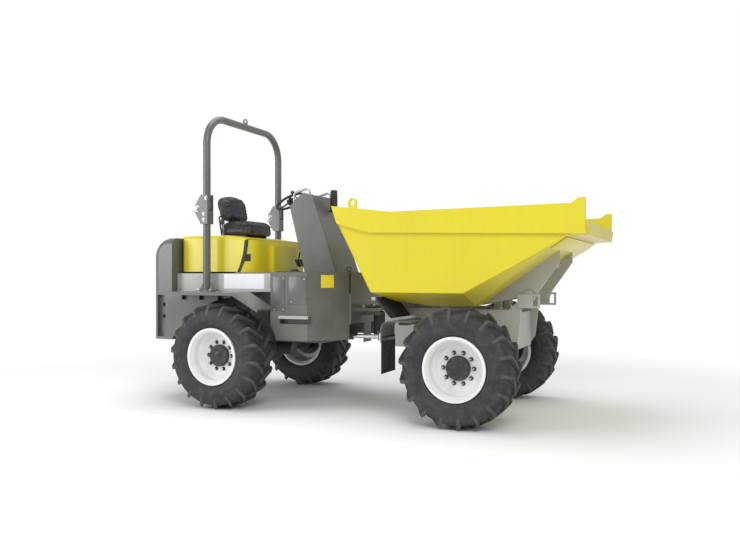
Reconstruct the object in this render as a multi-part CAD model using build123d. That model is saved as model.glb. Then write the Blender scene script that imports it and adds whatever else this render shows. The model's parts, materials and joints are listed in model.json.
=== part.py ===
from build123d import *
import math
import os

os.makedirs("parts", exist_ok=True)

# Site dumper: articulated four-wheel chassis, forward-tipping skip, folding roll bar.
# Millimetres. +X points forwards to the skip, +Y to the driver's left, +Z up from the ground.

# ---- whole machine
overall_length = 4740
nose_x = overall_length / 2
tail_x = -overall_length / 2
wheelbase = 2574
front_axle_x = 1247
rear_axle_x = front_axle_x - wheelbase
track = 1810
running_gap = 0.5           # between a shaft and its bore
side_gap = 2                # beside a lug or a hinge plate
panel_gap = 5               # between a lid and what it closes on

# ---- tyres, rims and hubs; offsets run outwards from a wheel's centre plane
tyre_diameter = 1075
tyre_width = 405
tyre_wall = 26
wheel_z = tyre_diameter / 2
bulge_radius = 400          # where the sidewall is widest
shoulder_radius = 482
shoulder_inset = 16
tread_width = 310
lug_pairs = 18
lug_height = 27
lug_length = 225
lug_breadth = 34
lug_slant = 38              # of each lug from the wheel's axis
lug_middle = 98             # of a lug's centre from the wheel's centre plane
rim_width = 375
rim_flange_radius = 291
rim_flange = 20
rim_seat_radius = 254
rim_wall = 11
rim_lip = 24
disc_offset = 20
disc_thickness = 14
dish_radius = 205
dish_depth = 52
hub_cap_radius = 112
hub_cap_offset = 66
hub_flange_radius = 165
hub_flange = 20
hub_drum_radius = 100
hub_back_offset = -105
hub_bore_end = -20

# ---- axles
spindle_radius = 45
spindle_end_gap = 5
axle_tube_radius = 75
axle_flange_radius = 110
axle_flange = 30
differential_radius = 160
differential_half = 95
differential_taper = 130
pinion_radius = 70
pinion_reach = 330
saddle_length = 150
saddle_width = 60

# ---- rear frame
frame_half = 400            # inner face of the side plates
frame_plate = 20
frame_bottom = 650
counterweight_length = 270
rear_frame_back_x = tail_x + counterweight_length
deck_front_x = -75
deck_top = 1397
deck_sheet = 12
deck_bottom = deck_top - deck_sheet
bulkhead = 15
notch_top = 860             # steering cylinder passes below this
notch_back_x = -420
notch_front_x = -300
belly_back_x = -1100
tank_half = 760
wing_inset = 10
wing_half = tank_half - wing_inset
wing_plate = 12
wing_bottom = 700
arch_clearance = 50
shelf_clearance = 115       # from the top of a rear tyre to the top of its fender
shelf_top = tyre_diameter + shelf_clearance
shelf_sheet = 15
rear_frame_top = shelf_top - shelf_sheet

# ---- steering pivot and oscillation shaft
steer_x = 80
pivot_z = 830
ear_radius = 85
ear_plate = 30
ear_gap = 110               # from pivot_z to each ear's inner face
steer_pin_radius = 35
steer_pin_head = 12
knuckle_radius = 78
knuckle_half = 80
knuckle_front_x = 190
swing_shaft_radius = 60
swing_shaft_end_x = 520
swing_tube_radius = 95
swing_tube_end_x = 560

# ---- steering cylinder
steer_base = (-560, -310)
steer_eye = (230, -330)
steer_cylinder_z = 735
steer_barrel_radius = 35
steer_rod_radius = 22
steer_eye_radius = 36
steer_eye_height = 76
steer_base_pin_radius = 18
steer_barrel_stop = 330     # from the rod's eye back to the barrel's mouth
steer_bore_start = 70       # from the base pin to the bottom of the bore
steer_rod_start = 250       # from the base pin to the rod's inner end
steer_arm = 22
steer_bracket = 12
steer_bracket_half = 42

# ---- counterweight
counterweight_half = wing_half
counterweight_bottom = 660
counterweight_top = 1775
counterweight_back_round = 210
counterweight_corner_round = 90
pocket_setback = 70
pocket_length = 110
pocket_back_x = tail_x + pocket_setback
pocket_front_x = pocket_back_x + pocket_length
pocket_bottom = 690
pocket_top = 1150
pocket_depth = 50
tie_hole_radius = 22
tie_hole_heights = (910, 1040)
tie_hole_depth = 60
jaw_half = 95
jaw_depth = 120
jaw_bottom = 720
jaw_top = 860
jaw_hole_radius = 16
jaw_hole_x = tail_x + 60
lamp_half = 600             # tail lamp centres
lamp_width = 150
lamp_height = 90
lamp_z = 1300
lamp_recess = 22
grille_half = 330
grille_bottom = 960
grille_height = 540
grille_depth = 45
grille_slats = 9
grille_slat = 16
grille_slat_inset = 10
grille_slat_depth = 30

# ---- engine bay, fenders, tanks and deck
engine_setback = 150
engine_x = (rear_frame_back_x + engine_setback, -1450)
engine_sump_bottom = 760
engine_sump_top = 1120
engine_head_half = 280
engine_head_top = 1600
bay_half = 655
bay_wall = 15
bay_front_x = -830
fender_half = 1080
fender_inner = 400
fender_setback = 90
fender_back_x = rear_frame_back_x + fender_setback
fender_knee_x = -1080
fender_drop = 160
fender_front = (-785, shelf_top - fender_drop)
fender_lip = 30
fender_lip_sheet = 12
tank_back_x = -830
tank_bottom = 700
tank_chamfer_x = -400       # where the side starts to turn in
tank_front_half = 400
step_x = (-720, -370)
step_pocket_bottom = 870
step_pocket_top = 950
step_pocket_depth = 70
step_bar_bottom = 922
step_bar_reach = 30

# ---- hood, cowl and seat
hood_half = 600
hood_back_x = rear_frame_back_x + bulkhead
hood_front_x = -1255        # the front wall is curved about the hinge, through this point
hood_rear_lip = 1740        # the rear is open below this, against the counterweight
hood_top = 1800
hood_step_x = -1500
hood_front_top = 1760
hood_wall = 16
hood_edge_round = 45
hood_hinge = (hood_back_x, 1786)
hood_swing = hood_front_x - hood_back_x
hinge_radius = 14
hinge_pin_radius = 8
hinge_inner = 340           # inner end of each hinge's fixed knuckle
hinge_knuckle = 50
hinge_tail = 60             # fixed leaf, back over the counterweight
deck_back_x = -1340
cowl_back_x = -1365
cowl_front_x = -1150
cowl_top = 1745
cowl_corner_round = 160
cowl_nose_half = 280
cowl_nose_x = -1090
cowl_nose_top = 1690
cowl_nose_round = 45
seat_half = 245
seat_setback = 245
seat_length = 430
seat_x = (hood_back_x + seat_setback, hood_back_x + seat_setback + seat_length)
seat_base_half = 200
seat_base_inset = 30
seat_base_top = 1815
cushion_thickness = 150
cushion_round = 38
seat_gap = 0.3
back_thickness = 110
back_top = 2290
back_half = 235
back_lean = 9
back_foot_overhang = 10
back_foot_x = seat_x[0] - back_foot_overhang
back_round = 70

# ---- console, column and steering wheel
console_half = 280
console_round = 22
console_outline = [(-710, deck_top), (-310, deck_top), (-618, 2235), (-735, 2262), (-896, 2120)]
rail_radius = 13
rail_half = 245
rail_rise = 52
rail_front_x = -655
rail_back_x = -850
rail_bend = 40
lamp_radius = 38
lamp_base_z = 2085
lamp_top_z = 2310
lamp_x = -510
lamp_y = 40
lamp_arm = 16
helm_centre = (-1040, 2200)
helm_tilt = 30              # of the wheel's axis from vertical, towards the driver
helm_radius = 180
helm_rim_radius = 14
helm_hub_radius = 42
helm_hub_height = 46
helm_spoke = 12
column_radius = 30
column_length = 470

# ---- roll bar
rops_setback = 434
rops_x = hood_back_x + rops_setback
rops_half = 725
rops_tube_radius = 40
rops_top_z = 3088
rops_bend = 300
rops_hinge_setback = 89
rops_hinge = (rops_x - rops_hinge_setback, 2080)
rops_post_top = 2058
rops_split_gap = 7
rops_plate = 12
rops_plate_bottom = 1915
rops_plate_top = 2230
rops_plate_front = 45
rops_pin_radius = 13
rops_lug_radius = 32
rops_lug_top = 2170
post_foot_length = 190
post_foot_width = 110
post_foot = 15
gusset_height = 150
beacon_eye_radius = 30
beacon_eye = 10
beacon_eye_hole = 14

# ---- front frame
front_frame_x = 300
front_frame_bottom_x = 430
front_frame_toe = 700
front_frame_top = 1040
front_frame_head = 1130
front_frame_head_x = 430
front_frame_slope_x = 560
nose_bottom_x = 1590
nose_x_low = 1655
nose_x_high = 1690
nose_knee_z = 740
nose_plate_x = 1600
nose_plate_top = 1000
carrier_plate = 30
crossbar_x = 395
crossbar_width = 40
crossbar_bottom = 1130
crossbar_height = 30
crossbar_half = 900
pad_x = (900, 980)
pad_half_width = 45
tie_eye_x = (1790, 1866)
tie_eye_z = (1060, 1190)
tie_eye_margin = 20
tie_eye_plate = 18

# ---- skip and its hinge
skip_pivot = (1760, 1170)
skip_half = 945             # outside of the side walls
skip_band = 35              # the rim band stands out by this much
skip_wall = 10
skip_bottom = 1080
skip_bottom_half = 600
skip_bottom_x = (840, 1300)
skip_rear_knee = (556, 1115)
skip_side_bottom = 1208
skip_rear_foot_x = 389
skip_rear_fold = (44, 1859)
skip_rear_top = (-14, 2029)
skip_side_dip = (599, 1955)
skip_front_top = 1974
skip_ear_length = 130
skip_ear_x = nose_x - skip_ear_length
skip_ear_top = 2020
skip_ear_crest = 70
skip_ear_round_x = nose_x - skip_ear_crest
skip_chute_side_x = 1291
skip_chute_side_setback = 156
skip_chute_side_end = (nose_x - skip_chute_side_setback, 1700)
skip_lip_setback = 170
skip_lip_x = nose_x - skip_lip_setback
skip_lip_bottom = 1710
skip_lip_top = 1830
skip_band_front_x = nose_x - 15
skip_band_bottom = [(skip_band_front_x, 1716), (385, 1766)]
eye_x = 210
eye_z = 2052
eye_radius = 45
eye_hole_radius = 25
eye_plate = 20
rib_inner = 340
rib_plate = 25
rib_ear_radius = 52
rib_setback = 330
rib_top_x = nose_x - rib_setback
rib_depth = 105
skip_pin_radius = 25
rib_tie_radius = 28

# ---- tipping cylinders
tip_base = (760, 740)
tip_eye = (1420, 1040)
tip_half = 200
tip_barrel_radius = 42
tip_rod_radius = 26
tip_eye_radius = 32
tip_base_eye_radius = 44
tip_eye_width = 50
tip_base_pin_radius = 20
tip_barrel_mouth = 80       # from the rod's eye back to the barrel's mouth
tip_rod_tail = 120
gland_length = 34
gland_rim = 6
lug_plate = 14

# ---- mudguards behind the front wheels
guard_inner = 760
guard_outer = 1080
guard_sheet = 8
guard_back_x = 545
guard_bottom = 750
guard_rise = 412.5          # of its top above the wheel's centre
guard_top = wheel_z + guard_rise
guard_clearance = 28
guard_front_x = front_axle_x - math.sqrt((wheel_z + guard_clearance) ** 2 - guard_rise ** 2)
guard_bend = 80
guard_web = 8
guard_bar_x = (600, 680)
guard_bar_height = 50
flap_sheet = 8
flap_bottom = 465
flap_lap = 55
deflector_foot = (570, 965)
deflector_sheet = 10


# ---------------------------------------------------------------- helpers
def outline(points):
    return make_face(Polyline(*points, close=True))


def side_slab(points, y_from, y_to):
    """Extrudes an outline drawn in X and Z between two Y positions."""
    return extrude(Plane.XZ.offset(-y_to) * outline(points), amount=y_to - y_from)


def plan_slab(points, z_from, z_to):
    """Extrudes an outline drawn in X and Y between two heights."""
    return extrude(Plane.XY.offset(z_from) * outline(points), amount=z_to - z_from)


def end_slab(points, x_from, x_to):
    """Extrudes an outline drawn in Y and Z between two X positions."""
    return extrude(Plane.YZ.offset(x_from) * outline(points), amount=x_to - x_from)


def block(x_range, y_range, z_range):
    sizes = [high - low for low, high in (x_range, y_range, z_range)]
    centre = [(high + low) / 2 for low, high in (x_range, y_range, z_range)]
    return Pos(*centre) * Box(*sizes)


def rod_between(start, end, radius):
    path = Vector(*end) - Vector(*start)
    return Plane(origin=start, z_dir=path) * extrude(Circle(radius), amount=path.length)


def cross_pin(x, z, radius, y_from, y_to):
    return rod_between((x, y_from, z), (x, y_to, z), radius)


def upright_pin(x, y, radius, z_from, z_to):
    return rod_between((x, y, z_from), (x, y, z_to), radius)


def turned(section):
    """Revolves a section of (offset along Y, radius) about the Y axis."""
    return revolve(Plane.YZ * outline(section), axis=Axis.Y)


def mirrored_pair(piece):
    """The piece and its twin on the other side, fused where they touch."""
    return piece + mirror(piece, about=Plane.XZ)


def symmetric_points(points):
    """Closes a right-hand outline with its mirror image, for plans in X and Y."""
    return points + [(x, -y) for x, y in reversed(points)]


# ---------------------------------------------------------------- wheels
bead_half = rim_width / 2 - rim_flange
tyre_half = tyre_width / 2
tread_half = tread_width / 2


def both_ways(section):
    """A half section with its mirror image across the wheel's centre plane."""
    return section + [(-offset, radius) for offset, radius in reversed(section)]


def tyre_lugs(floor_radius):
    """Two rows of slanting bars; the rows are half a pitch apart."""
    pitch = 360 / lug_pairs
    bar = Pos(0, 0, (floor_radius - tyre_wall / 2 + wheel_z) / 2 + lug_breadth / 4) * Box(
        lug_breadth, lug_length, wheel_z - floor_radius + tyre_wall / 2 + lug_breadth / 2
    )
    bars = []
    for row, side in enumerate((1, -1)):
        slanted = Pos(0, side * lug_middle, 0) * Rot(0, 0, side * lug_slant) * bar
        for count in range(lug_pairs):
            bars.append(Rot(0, 180 + (count + row / 2) * pitch, 0) * slanted)
    envelope = turned(both_ways([
        (tyre_half - shoulder_inset / 2, floor_radius - tyre_wall / 2),
        (tyre_half - shoulder_inset / 2, wheel_z - 2 * lug_height),
        (tread_half, wheel_z),
    ]))
    return [bar & envelope for bar in bars]


def tyre():
    floor_radius = wheel_z - lug_height
    shell = turned(both_ways([
        (bead_half, rim_seat_radius),
        (bead_half, rim_flange_radius),
        (tyre_half, bulge_radius),
        (tyre_half - shoulder_inset, shoulder_radius),
        (tread_half, floor_radius),
    ]))
    shell -= turned(both_ways([
        (bead_half - tyre_wall, rim_seat_radius),
        (tyre_half - tyre_wall, bulge_radius),
        (tread_half - tyre_wall / 2, floor_radius - tyre_wall),
    ]))
    return shell + tyre_lugs(floor_radius)


def rim():
    half = rim_width / 2
    inner = rim_seat_radius - rim_wall
    side = [
        (bead_half, rim_seat_radius),
        (bead_half, rim_flange_radius),
        (half, rim_flange_radius),
        (half, rim_flange_radius - rim_lip),
        (bead_half - rim_lip, inner),
    ]
    barrel = turned(both_ways(side))
    face = disc_offset + disc_thickness / 2
    back = disc_offset - disc_thickness / 2
    overlap = inner + rim_wall / 2
    disc = turned([
        (back, hub_cap_radius + running_gap),
        (face, hub_cap_radius + running_gap),
        (face, dish_radius),
        (face + dish_depth, overlap),
        (back + dish_depth - disc_thickness / 2, overlap),
        (back, dish_radius + disc_thickness / 2),
    ])
    return barrel + disc


def hub():
    back = disc_offset - disc_thickness / 2
    cap_bevel = 10
    bore = spindle_radius + running_gap
    return turned([
        (hub_back_offset, bore),
        (hub_back_offset, hub_drum_radius),
        (back - hub_flange, hub_drum_radius),
        (back - hub_flange, hub_flange_radius),
        (back, hub_flange_radius),
        (back, hub_cap_radius),
        (hub_cap_offset - cap_bevel, hub_cap_radius),
        (hub_cap_offset, hub_cap_radius - cap_bevel),
        (hub_cap_offset, 0),
        (hub_bore_end, 0),
        (hub_bore_end, bore),
    ])


def axle(x, pinion_direction):
    inner_face = track / 2 + hub_back_offset - running_gap
    spindle_end = track / 2 + hub_bore_end - spindle_end_gap
    side = [
        (spindle_end, 0),
        (spindle_end, spindle_radius),
        (inner_face, spindle_radius),
        (inner_face, axle_flange_radius),
        (inner_face - axle_flange, axle_flange_radius),
        (inner_face - axle_flange, axle_tube_radius),
        (differential_half + differential_taper, axle_tube_radius),
        (differential_half, differential_radius),
    ]
    beam = turned(both_ways(side))
    beam += rod_between((0, 0, 0), (pinion_direction * pinion_reach, 0, 0), pinion_radius)
    saddle_from = frame_half + frame_plate / 2 - saddle_width / 2
    saddle = block(
        (-saddle_length / 2, saddle_length / 2),
        (saddle_from, saddle_from + saddle_width),
        (0, frame_bottom - wheel_z),
    )
    return Pos(x, 0, wheel_z) * (beam + mirrored_pair(saddle))


# ---------------------------------------------------------------- rear frame and its load
def tyre_arch(radius, y_from, y_to):
    """Room cut around a rear wheel on the left side."""
    return cross_pin(rear_axle_x, wheel_z, radius, y_from, y_to)


arch_radius = wheel_z + arch_clearance


def steering_ear(z_from):
    ear = block((deck_front_x, steer_x), (-ear_radius, ear_radius), (z_from, z_from + ear_plate))
    ear += upright_pin(steer_x, 0, ear_radius, z_from, z_from + ear_plate)
    bore = steer_pin_radius + running_gap
    return ear - upright_pin(steer_x, 0, bore, z_from, z_from + ear_plate)


def steer_base_bracket():
    x, y = steer_base
    half_height = steer_eye_height / 2 + side_gap
    bracket = upright_pin(
        x, y, steer_base_pin_radius,
        steer_cylinder_z - half_height - steer_bracket,
        steer_cylinder_z + half_height + steer_bracket,
    )
    for z_from in (steer_cylinder_z - half_height - steer_bracket, steer_cylinder_z + half_height):
        bracket += block(
            (x - steer_bracket_half, x + steer_bracket_half),
            (-frame_half, y + steer_bracket_half),
            (z_from, z_from + steer_bracket),
        )
    return bracket


def rear_frame():
    plate = side_slab([
        (rear_frame_back_x, frame_bottom),
        (notch_back_x, frame_bottom),
        (notch_front_x, notch_top),
        (deck_front_x, notch_top),
        (deck_front_x, rear_frame_top),
        (rear_frame_back_x, rear_frame_top),
    ], frame_half, frame_half + frame_plate)
    wing = block(
        (rear_frame_back_x, rear_axle_x),
        (wing_half - wing_plate, wing_half),
        (wing_bottom, shelf_top - shelf_sheet),
    )
    wing -= tyre_arch(arch_radius, 0, wing_half)
    frame = mirrored_pair(plate + wing)
    frame += block(
        (rear_frame_back_x, rear_frame_back_x + bulkhead),
        (-wing_half, wing_half),
        (counterweight_bottom, shelf_top - shelf_sheet),
    )
    frame += end_slab([
        (-frame_half, notch_top),
        (-ear_radius, notch_top),
        (-ear_radius, frame_bottom),
        (ear_radius, frame_bottom),
        (ear_radius, notch_top),
        (frame_half, notch_top),
        (frame_half, deck_bottom),
        (-frame_half, deck_bottom),
    ], deck_front_x - bulkhead, deck_front_x)
    frame += block(
        (belly_back_x, notch_back_x),
        (-frame_half, frame_half),
        (frame_bottom, frame_bottom + deck_sheet),
    )
    frame += steering_ear(pivot_z + ear_gap)
    frame += steering_ear(pivot_z - ear_gap - ear_plate)
    return frame + steer_base_bracket()


def counterweight():
    casting = side_slab([
        (tail_x, counterweight_bottom),
        (rear_frame_back_x, counterweight_bottom),
        (rear_frame_back_x, counterweight_top),
        (tail_x, counterweight_top),
    ], -counterweight_half, counterweight_half)
    back_top = casting.edges().filter_by(Axis.Y).group_by(Axis.Z)[-1].sort_by(Axis.X)[0]
    casting = fillet(back_top, counterweight_back_round)
    corners = casting.edges().filter_by(Axis.Z).group_by(Axis.X)[0]
    casting = fillet(corners, counterweight_corner_round)
    pocket = block(
        (pocket_back_x, pocket_front_x),
        (counterweight_half - pocket_depth, counterweight_half),
        (pocket_bottom, pocket_top),
    )
    pocket_x = (pocket_back_x + pocket_front_x) / 2
    for height in tie_hole_heights:
        floor = counterweight_half - pocket_depth
        pocket += cross_pin(pocket_x, height, tie_hole_radius, floor - tie_hole_depth, floor)
    lamp_pocket = block(
        (tail_x, tail_x + lamp_recess),
        (lamp_half - lamp_width / 2, lamp_half + lamp_width / 2),
        (lamp_z - lamp_height / 2, lamp_z + lamp_height / 2),
    )
    casting -= mirrored_pair(pocket + lamp_pocket)
    casting -= block((tail_x, tail_x + jaw_depth), (-jaw_half, jaw_half), (jaw_bottom, jaw_top))
    jaw_hole_top = jaw_top + (jaw_bottom - counterweight_bottom)
    casting -= upright_pin(jaw_hole_x, 0, jaw_hole_radius, counterweight_bottom, jaw_hole_top)
    casting -= mirrored_pair(tyre_arch(arch_radius, 0, counterweight_half))
    casting -= block(
        (tail_x, tail_x + grille_depth),
        (-grille_half, grille_half),
        (grille_bottom, grille_bottom + grille_height),
    )
    return casting + grille() + mirrored_pair(hood_hinge_leaf())


def grille():
    """Level slats across the recess in the counterweight's back."""
    pitch = grille_height / grille_slats
    slats = []
    for count in range(grille_slats):
        middle = grille_bottom + (count + 0.5) * pitch
        slats.append(block(
            (tail_x + grille_slat_inset, tail_x + grille_slat_inset + grille_slat_depth),
            (-grille_half, grille_half),
            (middle - grille_slat / 2, middle + grille_slat / 2),
        ))
    slats.append(block(
        (tail_x + grille_slat_inset + grille_slat, tail_x + grille_depth),
        (-grille_slat / 2, grille_slat / 2),
        (grille_bottom, grille_bottom + grille_height),
    ))
    return slats


def tail_lamps():
    lens_gap = 1
    lens = block(
        (tail_x + lens_gap, tail_x + lamp_recess),
        (lamp_half - lamp_width / 2 + lens_gap, lamp_half + lamp_width / 2 - lens_gap),
        (lamp_z - lamp_height / 2 + lens_gap, lamp_z + lamp_height / 2 - lens_gap),
    )
    return mirrored_pair(lens)


def engine_block():
    sump = block(engine_x, (-frame_half, frame_half), (engine_sump_bottom, engine_sump_top))
    head = block(engine_x, (-engine_head_half, engine_head_half), (engine_sump_top, engine_head_top))
    return sump + head


def bay_panels():
    return mirrored_pair(block(
        (rear_frame_back_x, bay_front_x),
        (bay_half - bay_wall, bay_half),
        (shelf_top, deck_bottom),
    ))


def rear_fenders():
    front_x, front_z = fender_front
    sheet = side_slab([
        (fender_back_x, shelf_top - shelf_sheet),
        (fender_knee_x, shelf_top - shelf_sheet),
        (front_x, front_z - shelf_sheet),
        (front_x, front_z),
        (fender_knee_x, shelf_top),
        (fender_back_x, shelf_top),
    ], tank_half, fender_half)
    sheet += block(
        (rear_frame_back_x + bulkhead, fender_knee_x),
        (fender_inner, tank_half),
        (shelf_top - shelf_sheet, shelf_top),
    )
    sheet += side_slab([
        (fender_back_x, shelf_top - fender_lip),
        (fender_knee_x, shelf_top - fender_lip),
        (front_x, front_z - fender_lip),
        (front_x, front_z),
        (fender_knee_x, shelf_top),
        (fender_back_x, shelf_top),
    ], fender_half - fender_lip_sheet, fender_half)
    return mirrored_pair(sheet)


def side_tanks():
    frame_side = frame_half + frame_plate
    chamfer_slope = (deck_front_x - tank_chamfer_x) / (tank_half - tank_front_half)
    body = plan_slab([
        (tank_back_x, frame_side),
        (tank_back_x, tank_half),
        (tank_chamfer_x, tank_half),
        (deck_front_x - chamfer_slope * (frame_side - tank_front_half), frame_side),
    ], tank_bottom, deck_bottom)
    body -= tyre_arch(arch_radius, frame_side, tank_half)
    body -= block(
        step_x,
        (tank_half - step_pocket_depth, tank_half),
        (step_pocket_bottom, step_pocket_top),
    )
    body += block(
        step_x,
        (tank_half - step_pocket_depth, tank_half + step_bar_reach),
        (step_bar_bottom, step_pocket_top),
    )
    return mirrored_pair(body)


def deck_plate():
    plan = symmetric_points([
        (deck_back_x, bay_half),
        (bay_front_x, bay_half),
        (bay_front_x, tank_half),
        (tank_chamfer_x, tank_half),
        (deck_front_x, tank_front_half),
    ])
    return plan_slab(plan, deck_bottom, deck_top)


# ---------------------------------------------------------------- hood, cowl and seat
def hood_form(inset):
    """The hood's outside, or its hollow when walls and top are moved in by the sheet."""
    bottom = deck_top + panel_gap
    half = hood_half - inset
    ahead = hood_front_x + hood_wall
    form = side_slab([
        (hood_back_x + inset, bottom),
        (ahead, bottom),
        (ahead, hood_front_top - inset),
        (hood_step_x, hood_top - inset),
        (hood_back_x + inset, hood_top - inset),
    ], -half, half)
    middle = (bottom + hood_front_top) / 2
    sides = form.edges().filter_by(lambda edge: abs(abs(edge.center().Y) - half) < 1)
    top_edges = sides.filter_by(lambda edge: edge.center().Z > middle + inset)
    form = fillet(top_edges, hood_edge_round - inset)
    return form & cross_pin(*hood_hinge, hood_swing - inset, -hood_half, hood_half)


def hood_shell():
    hinge_x, hinge_z = hood_hinge
    joint_y = hinge_inner + hinge_knuckle
    notch = block(
        (hinge_x, hinge_x + hinge_radius + side_gap),
        (hinge_inner - side_gap, joint_y),
        (hinge_z - hinge_radius - side_gap, hood_top),
    )
    barrel = cross_pin(hinge_x, hinge_z, hinge_radius, joint_y, joint_y + hinge_knuckle)
    bore = cross_pin(hinge_x, hinge_z, hinge_pin_radius + running_gap, joint_y, joint_y + hinge_knuckle)
    inside = hood_half - hood_wall
    shell = hood_form(0) - hood_form(hood_wall) - mirrored_pair(notch)
    shell -= block((hinge_x, hinge_x + hood_wall), (-inside, inside), (deck_top, hood_rear_lip))
    return shell + mirrored_pair(barrel) - mirrored_pair(bore)


def hood_hinge_leaf():
    """The fixed knuckle, its leaf on the counterweight and the pin, on the left side."""
    hinge_x, hinge_z = hood_hinge
    joint_y = hinge_inner + hinge_knuckle - running_gap
    leaf = cross_pin(hinge_x, hinge_z, hinge_radius, hinge_inner, joint_y)
    leaf += block(
        (rear_frame_back_x - hinge_tail, hinge_x),
        (hinge_inner, joint_y),
        (counterweight_top, hinge_z + hinge_radius),
    )
    return leaf + cross_pin(hinge_x, hinge_z, hinge_pin_radius, joint_y, joint_y + hinge_knuckle)


def front_cowl():
    body = block((cowl_back_x, cowl_front_x), (-hood_half, hood_half), (deck_top, cowl_top))
    corners = body.edges().filter_by(Axis.Z).group_by(Axis.X)[-1]
    body = fillet(corners, cowl_corner_round)
    nose = block(
        (cowl_back_x, cowl_nose_x), (-cowl_nose_half, cowl_nose_half), (deck_top, cowl_nose_top)
    )
    nose = fillet(nose.edges().filter_by(Axis.Z).group_by(Axis.X)[-1], cowl_nose_round)
    return body + nose - cross_pin(*hood_hinge, hood_swing + panel_gap, -hood_half, hood_half)


def seat_base():
    back_x, front_x = seat_x
    return block(
        (back_x + seat_base_inset, hood_step_x - seat_base_inset),
        (-seat_base_half, seat_base_half),
        (hood_top, seat_base_top),
    )


def seat_cushion():
    pad = block(seat_x, (-seat_half, seat_half), (seat_base_top, seat_base_top + cushion_thickness))
    return fillet(pad.edges(), cushion_round)


def seat_back():
    height = back_top - seat_base_top - cushion_thickness
    pad = block((-back_thickness, 0), (-back_half, back_half), (0, height))
    pad = fillet(pad.edges().filter_by(Axis.X).group_by(Axis.Z)[-1], back_round)
    lean = math.radians(back_lean)
    foot_x = back_foot_x + back_thickness
    round_x = seat_x[0] + cushion_round
    round_z = seat_base_top + cushion_thickness - cushion_round
    lift = cushion_round + seat_gap + math.sin(lean) * (foot_x - round_x)
    return Pos(foot_x, 0, round_z + lift / math.cos(lean)) * Rot(0, -back_lean, 0) * pad


# ---------------------------------------------------------------- console and steering wheel
def console():
    body = side_slab(console_outline, -console_half, console_half)
    rims = body.edges().filter_by(lambda edge: abs(abs(edge.center().Y) - console_half) < 1)
    return fillet(rims.filter_by(lambda edge: edge.center().Z > deck_top + 1), console_round)


def console_rails():
    end_z = 2200
    top_z = max(z for x, z in console_outline) + rail_rise
    path = FilletPolyline(
        (rail_front_x, rail_half, end_z),
        (rail_front_x, rail_half, top_z),
        (rail_back_x, rail_half, top_z - rail_rise),
        (rail_back_x, rail_half, end_z - rail_rise),
        radius=rail_bend,
    )
    rail = sweep(Plane(origin=path @ 0, z_dir=path % 0) * Circle(rail_radius), path=path)
    return mirrored_pair(rail)


def work_lamp():
    body = upright_pin(lamp_x, lamp_y, lamp_radius, lamp_base_z, lamp_top_z)
    body = fillet(body.edges().group_by(Axis.Z)[-1], lamp_radius / 2)
    low_x, low_z = console_outline[1]
    high_x, high_z = console_outline[2]
    arm_z = lamp_base_z - lamp_arm
    face_x = low_x + (high_x - low_x) * (arm_z + lamp_arm - low_z) / (high_z - low_z)
    return body + block(
        (face_x, lamp_x + lamp_radius),
        (lamp_y - lamp_arm, lamp_y + lamp_arm),
        (arm_z, lamp_base_z),
    )


helm_axis = Vector(-math.sin(math.radians(helm_tilt)), 0, math.cos(math.radians(helm_tilt)))
helm_plane = Plane(origin=(helm_centre[0], 0, helm_centre[1]), x_dir=(0, 1, 0), z_dir=helm_axis)


def steering_wheel():
    ring = Torus(helm_radius - helm_rim_radius, helm_rim_radius)
    hub_drum = Cylinder(helm_hub_radius, helm_hub_height)
    spoke_length = helm_radius - helm_rim_radius
    spokes = [
        Rot(0, 0, angle) * Pos(spoke_length / 2, 0, 0) * Box(spoke_length, 2 * helm_spoke, helm_spoke)
        for angle in (90, 210, 330)
    ]
    return helm_plane * (ring + hub_drum + spokes)


def steering_column():
    start = helm_plane.origin - helm_axis * (helm_hub_height / 2 + running_gap)
    end = start - helm_axis * column_length
    return rod_between(tuple(start), tuple(end), column_radius) - console()


# ---------------------------------------------------------------- roll bar
def rops_posts():
    post = upright_pin(rops_x, rops_half, rops_tube_radius, shelf_top, rops_post_top)
    foot = block(
        (rops_x - post_foot_length / 2, rops_x + post_foot_length / 2),
        (rops_half - post_foot_width / 2, rops_half + post_foot_width / 2),
        (shelf_top, shelf_top + post_foot),
    )
    gusset_foot = shelf_top + post_foot
    gusset = side_slab([
        (rops_x - post_foot_length / 2, gusset_foot),
        (rops_x + post_foot_length / 2, gusset_foot),
        (rops_x, gusset_foot + gusset_height),
    ], rops_half - rops_plate / 2, rops_half + rops_plate / 2)
    hinge_x, hinge_z = rops_hinge
    plate_outline = [
        (rops_x + rops_plate_front, rops_plate_bottom),
        (rops_x + rops_plate_front, rops_plate_top),
        (rops_x - rops_tube_radius, rops_plate_top),
        (hinge_x - rops_lug_radius, hinge_z + rops_lug_radius),
        (hinge_x - rops_lug_radius, hinge_z - rops_lug_radius),
        (rops_x - rops_tube_radius, rops_plate_bottom),
    ]
    inner = rops_half - rops_tube_radius - side_gap
    outer = rops_half + rops_tube_radius + side_gap
    cheeks = side_slab(plate_outline, inner - rops_plate, inner)
    cheeks += side_slab(plate_outline, outer, outer + rops_plate)
    web = block(
        (rops_x - rops_tube_radius, rops_x + rops_tube_radius),
        (inner, outer),
        (rops_plate_bottom, rops_post_top),
    )
    pin = cross_pin(hinge_x, hinge_z, rops_pin_radius, inner, outer)
    return mirrored_pair(post + foot + gusset + cheeks + web + pin)


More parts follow.
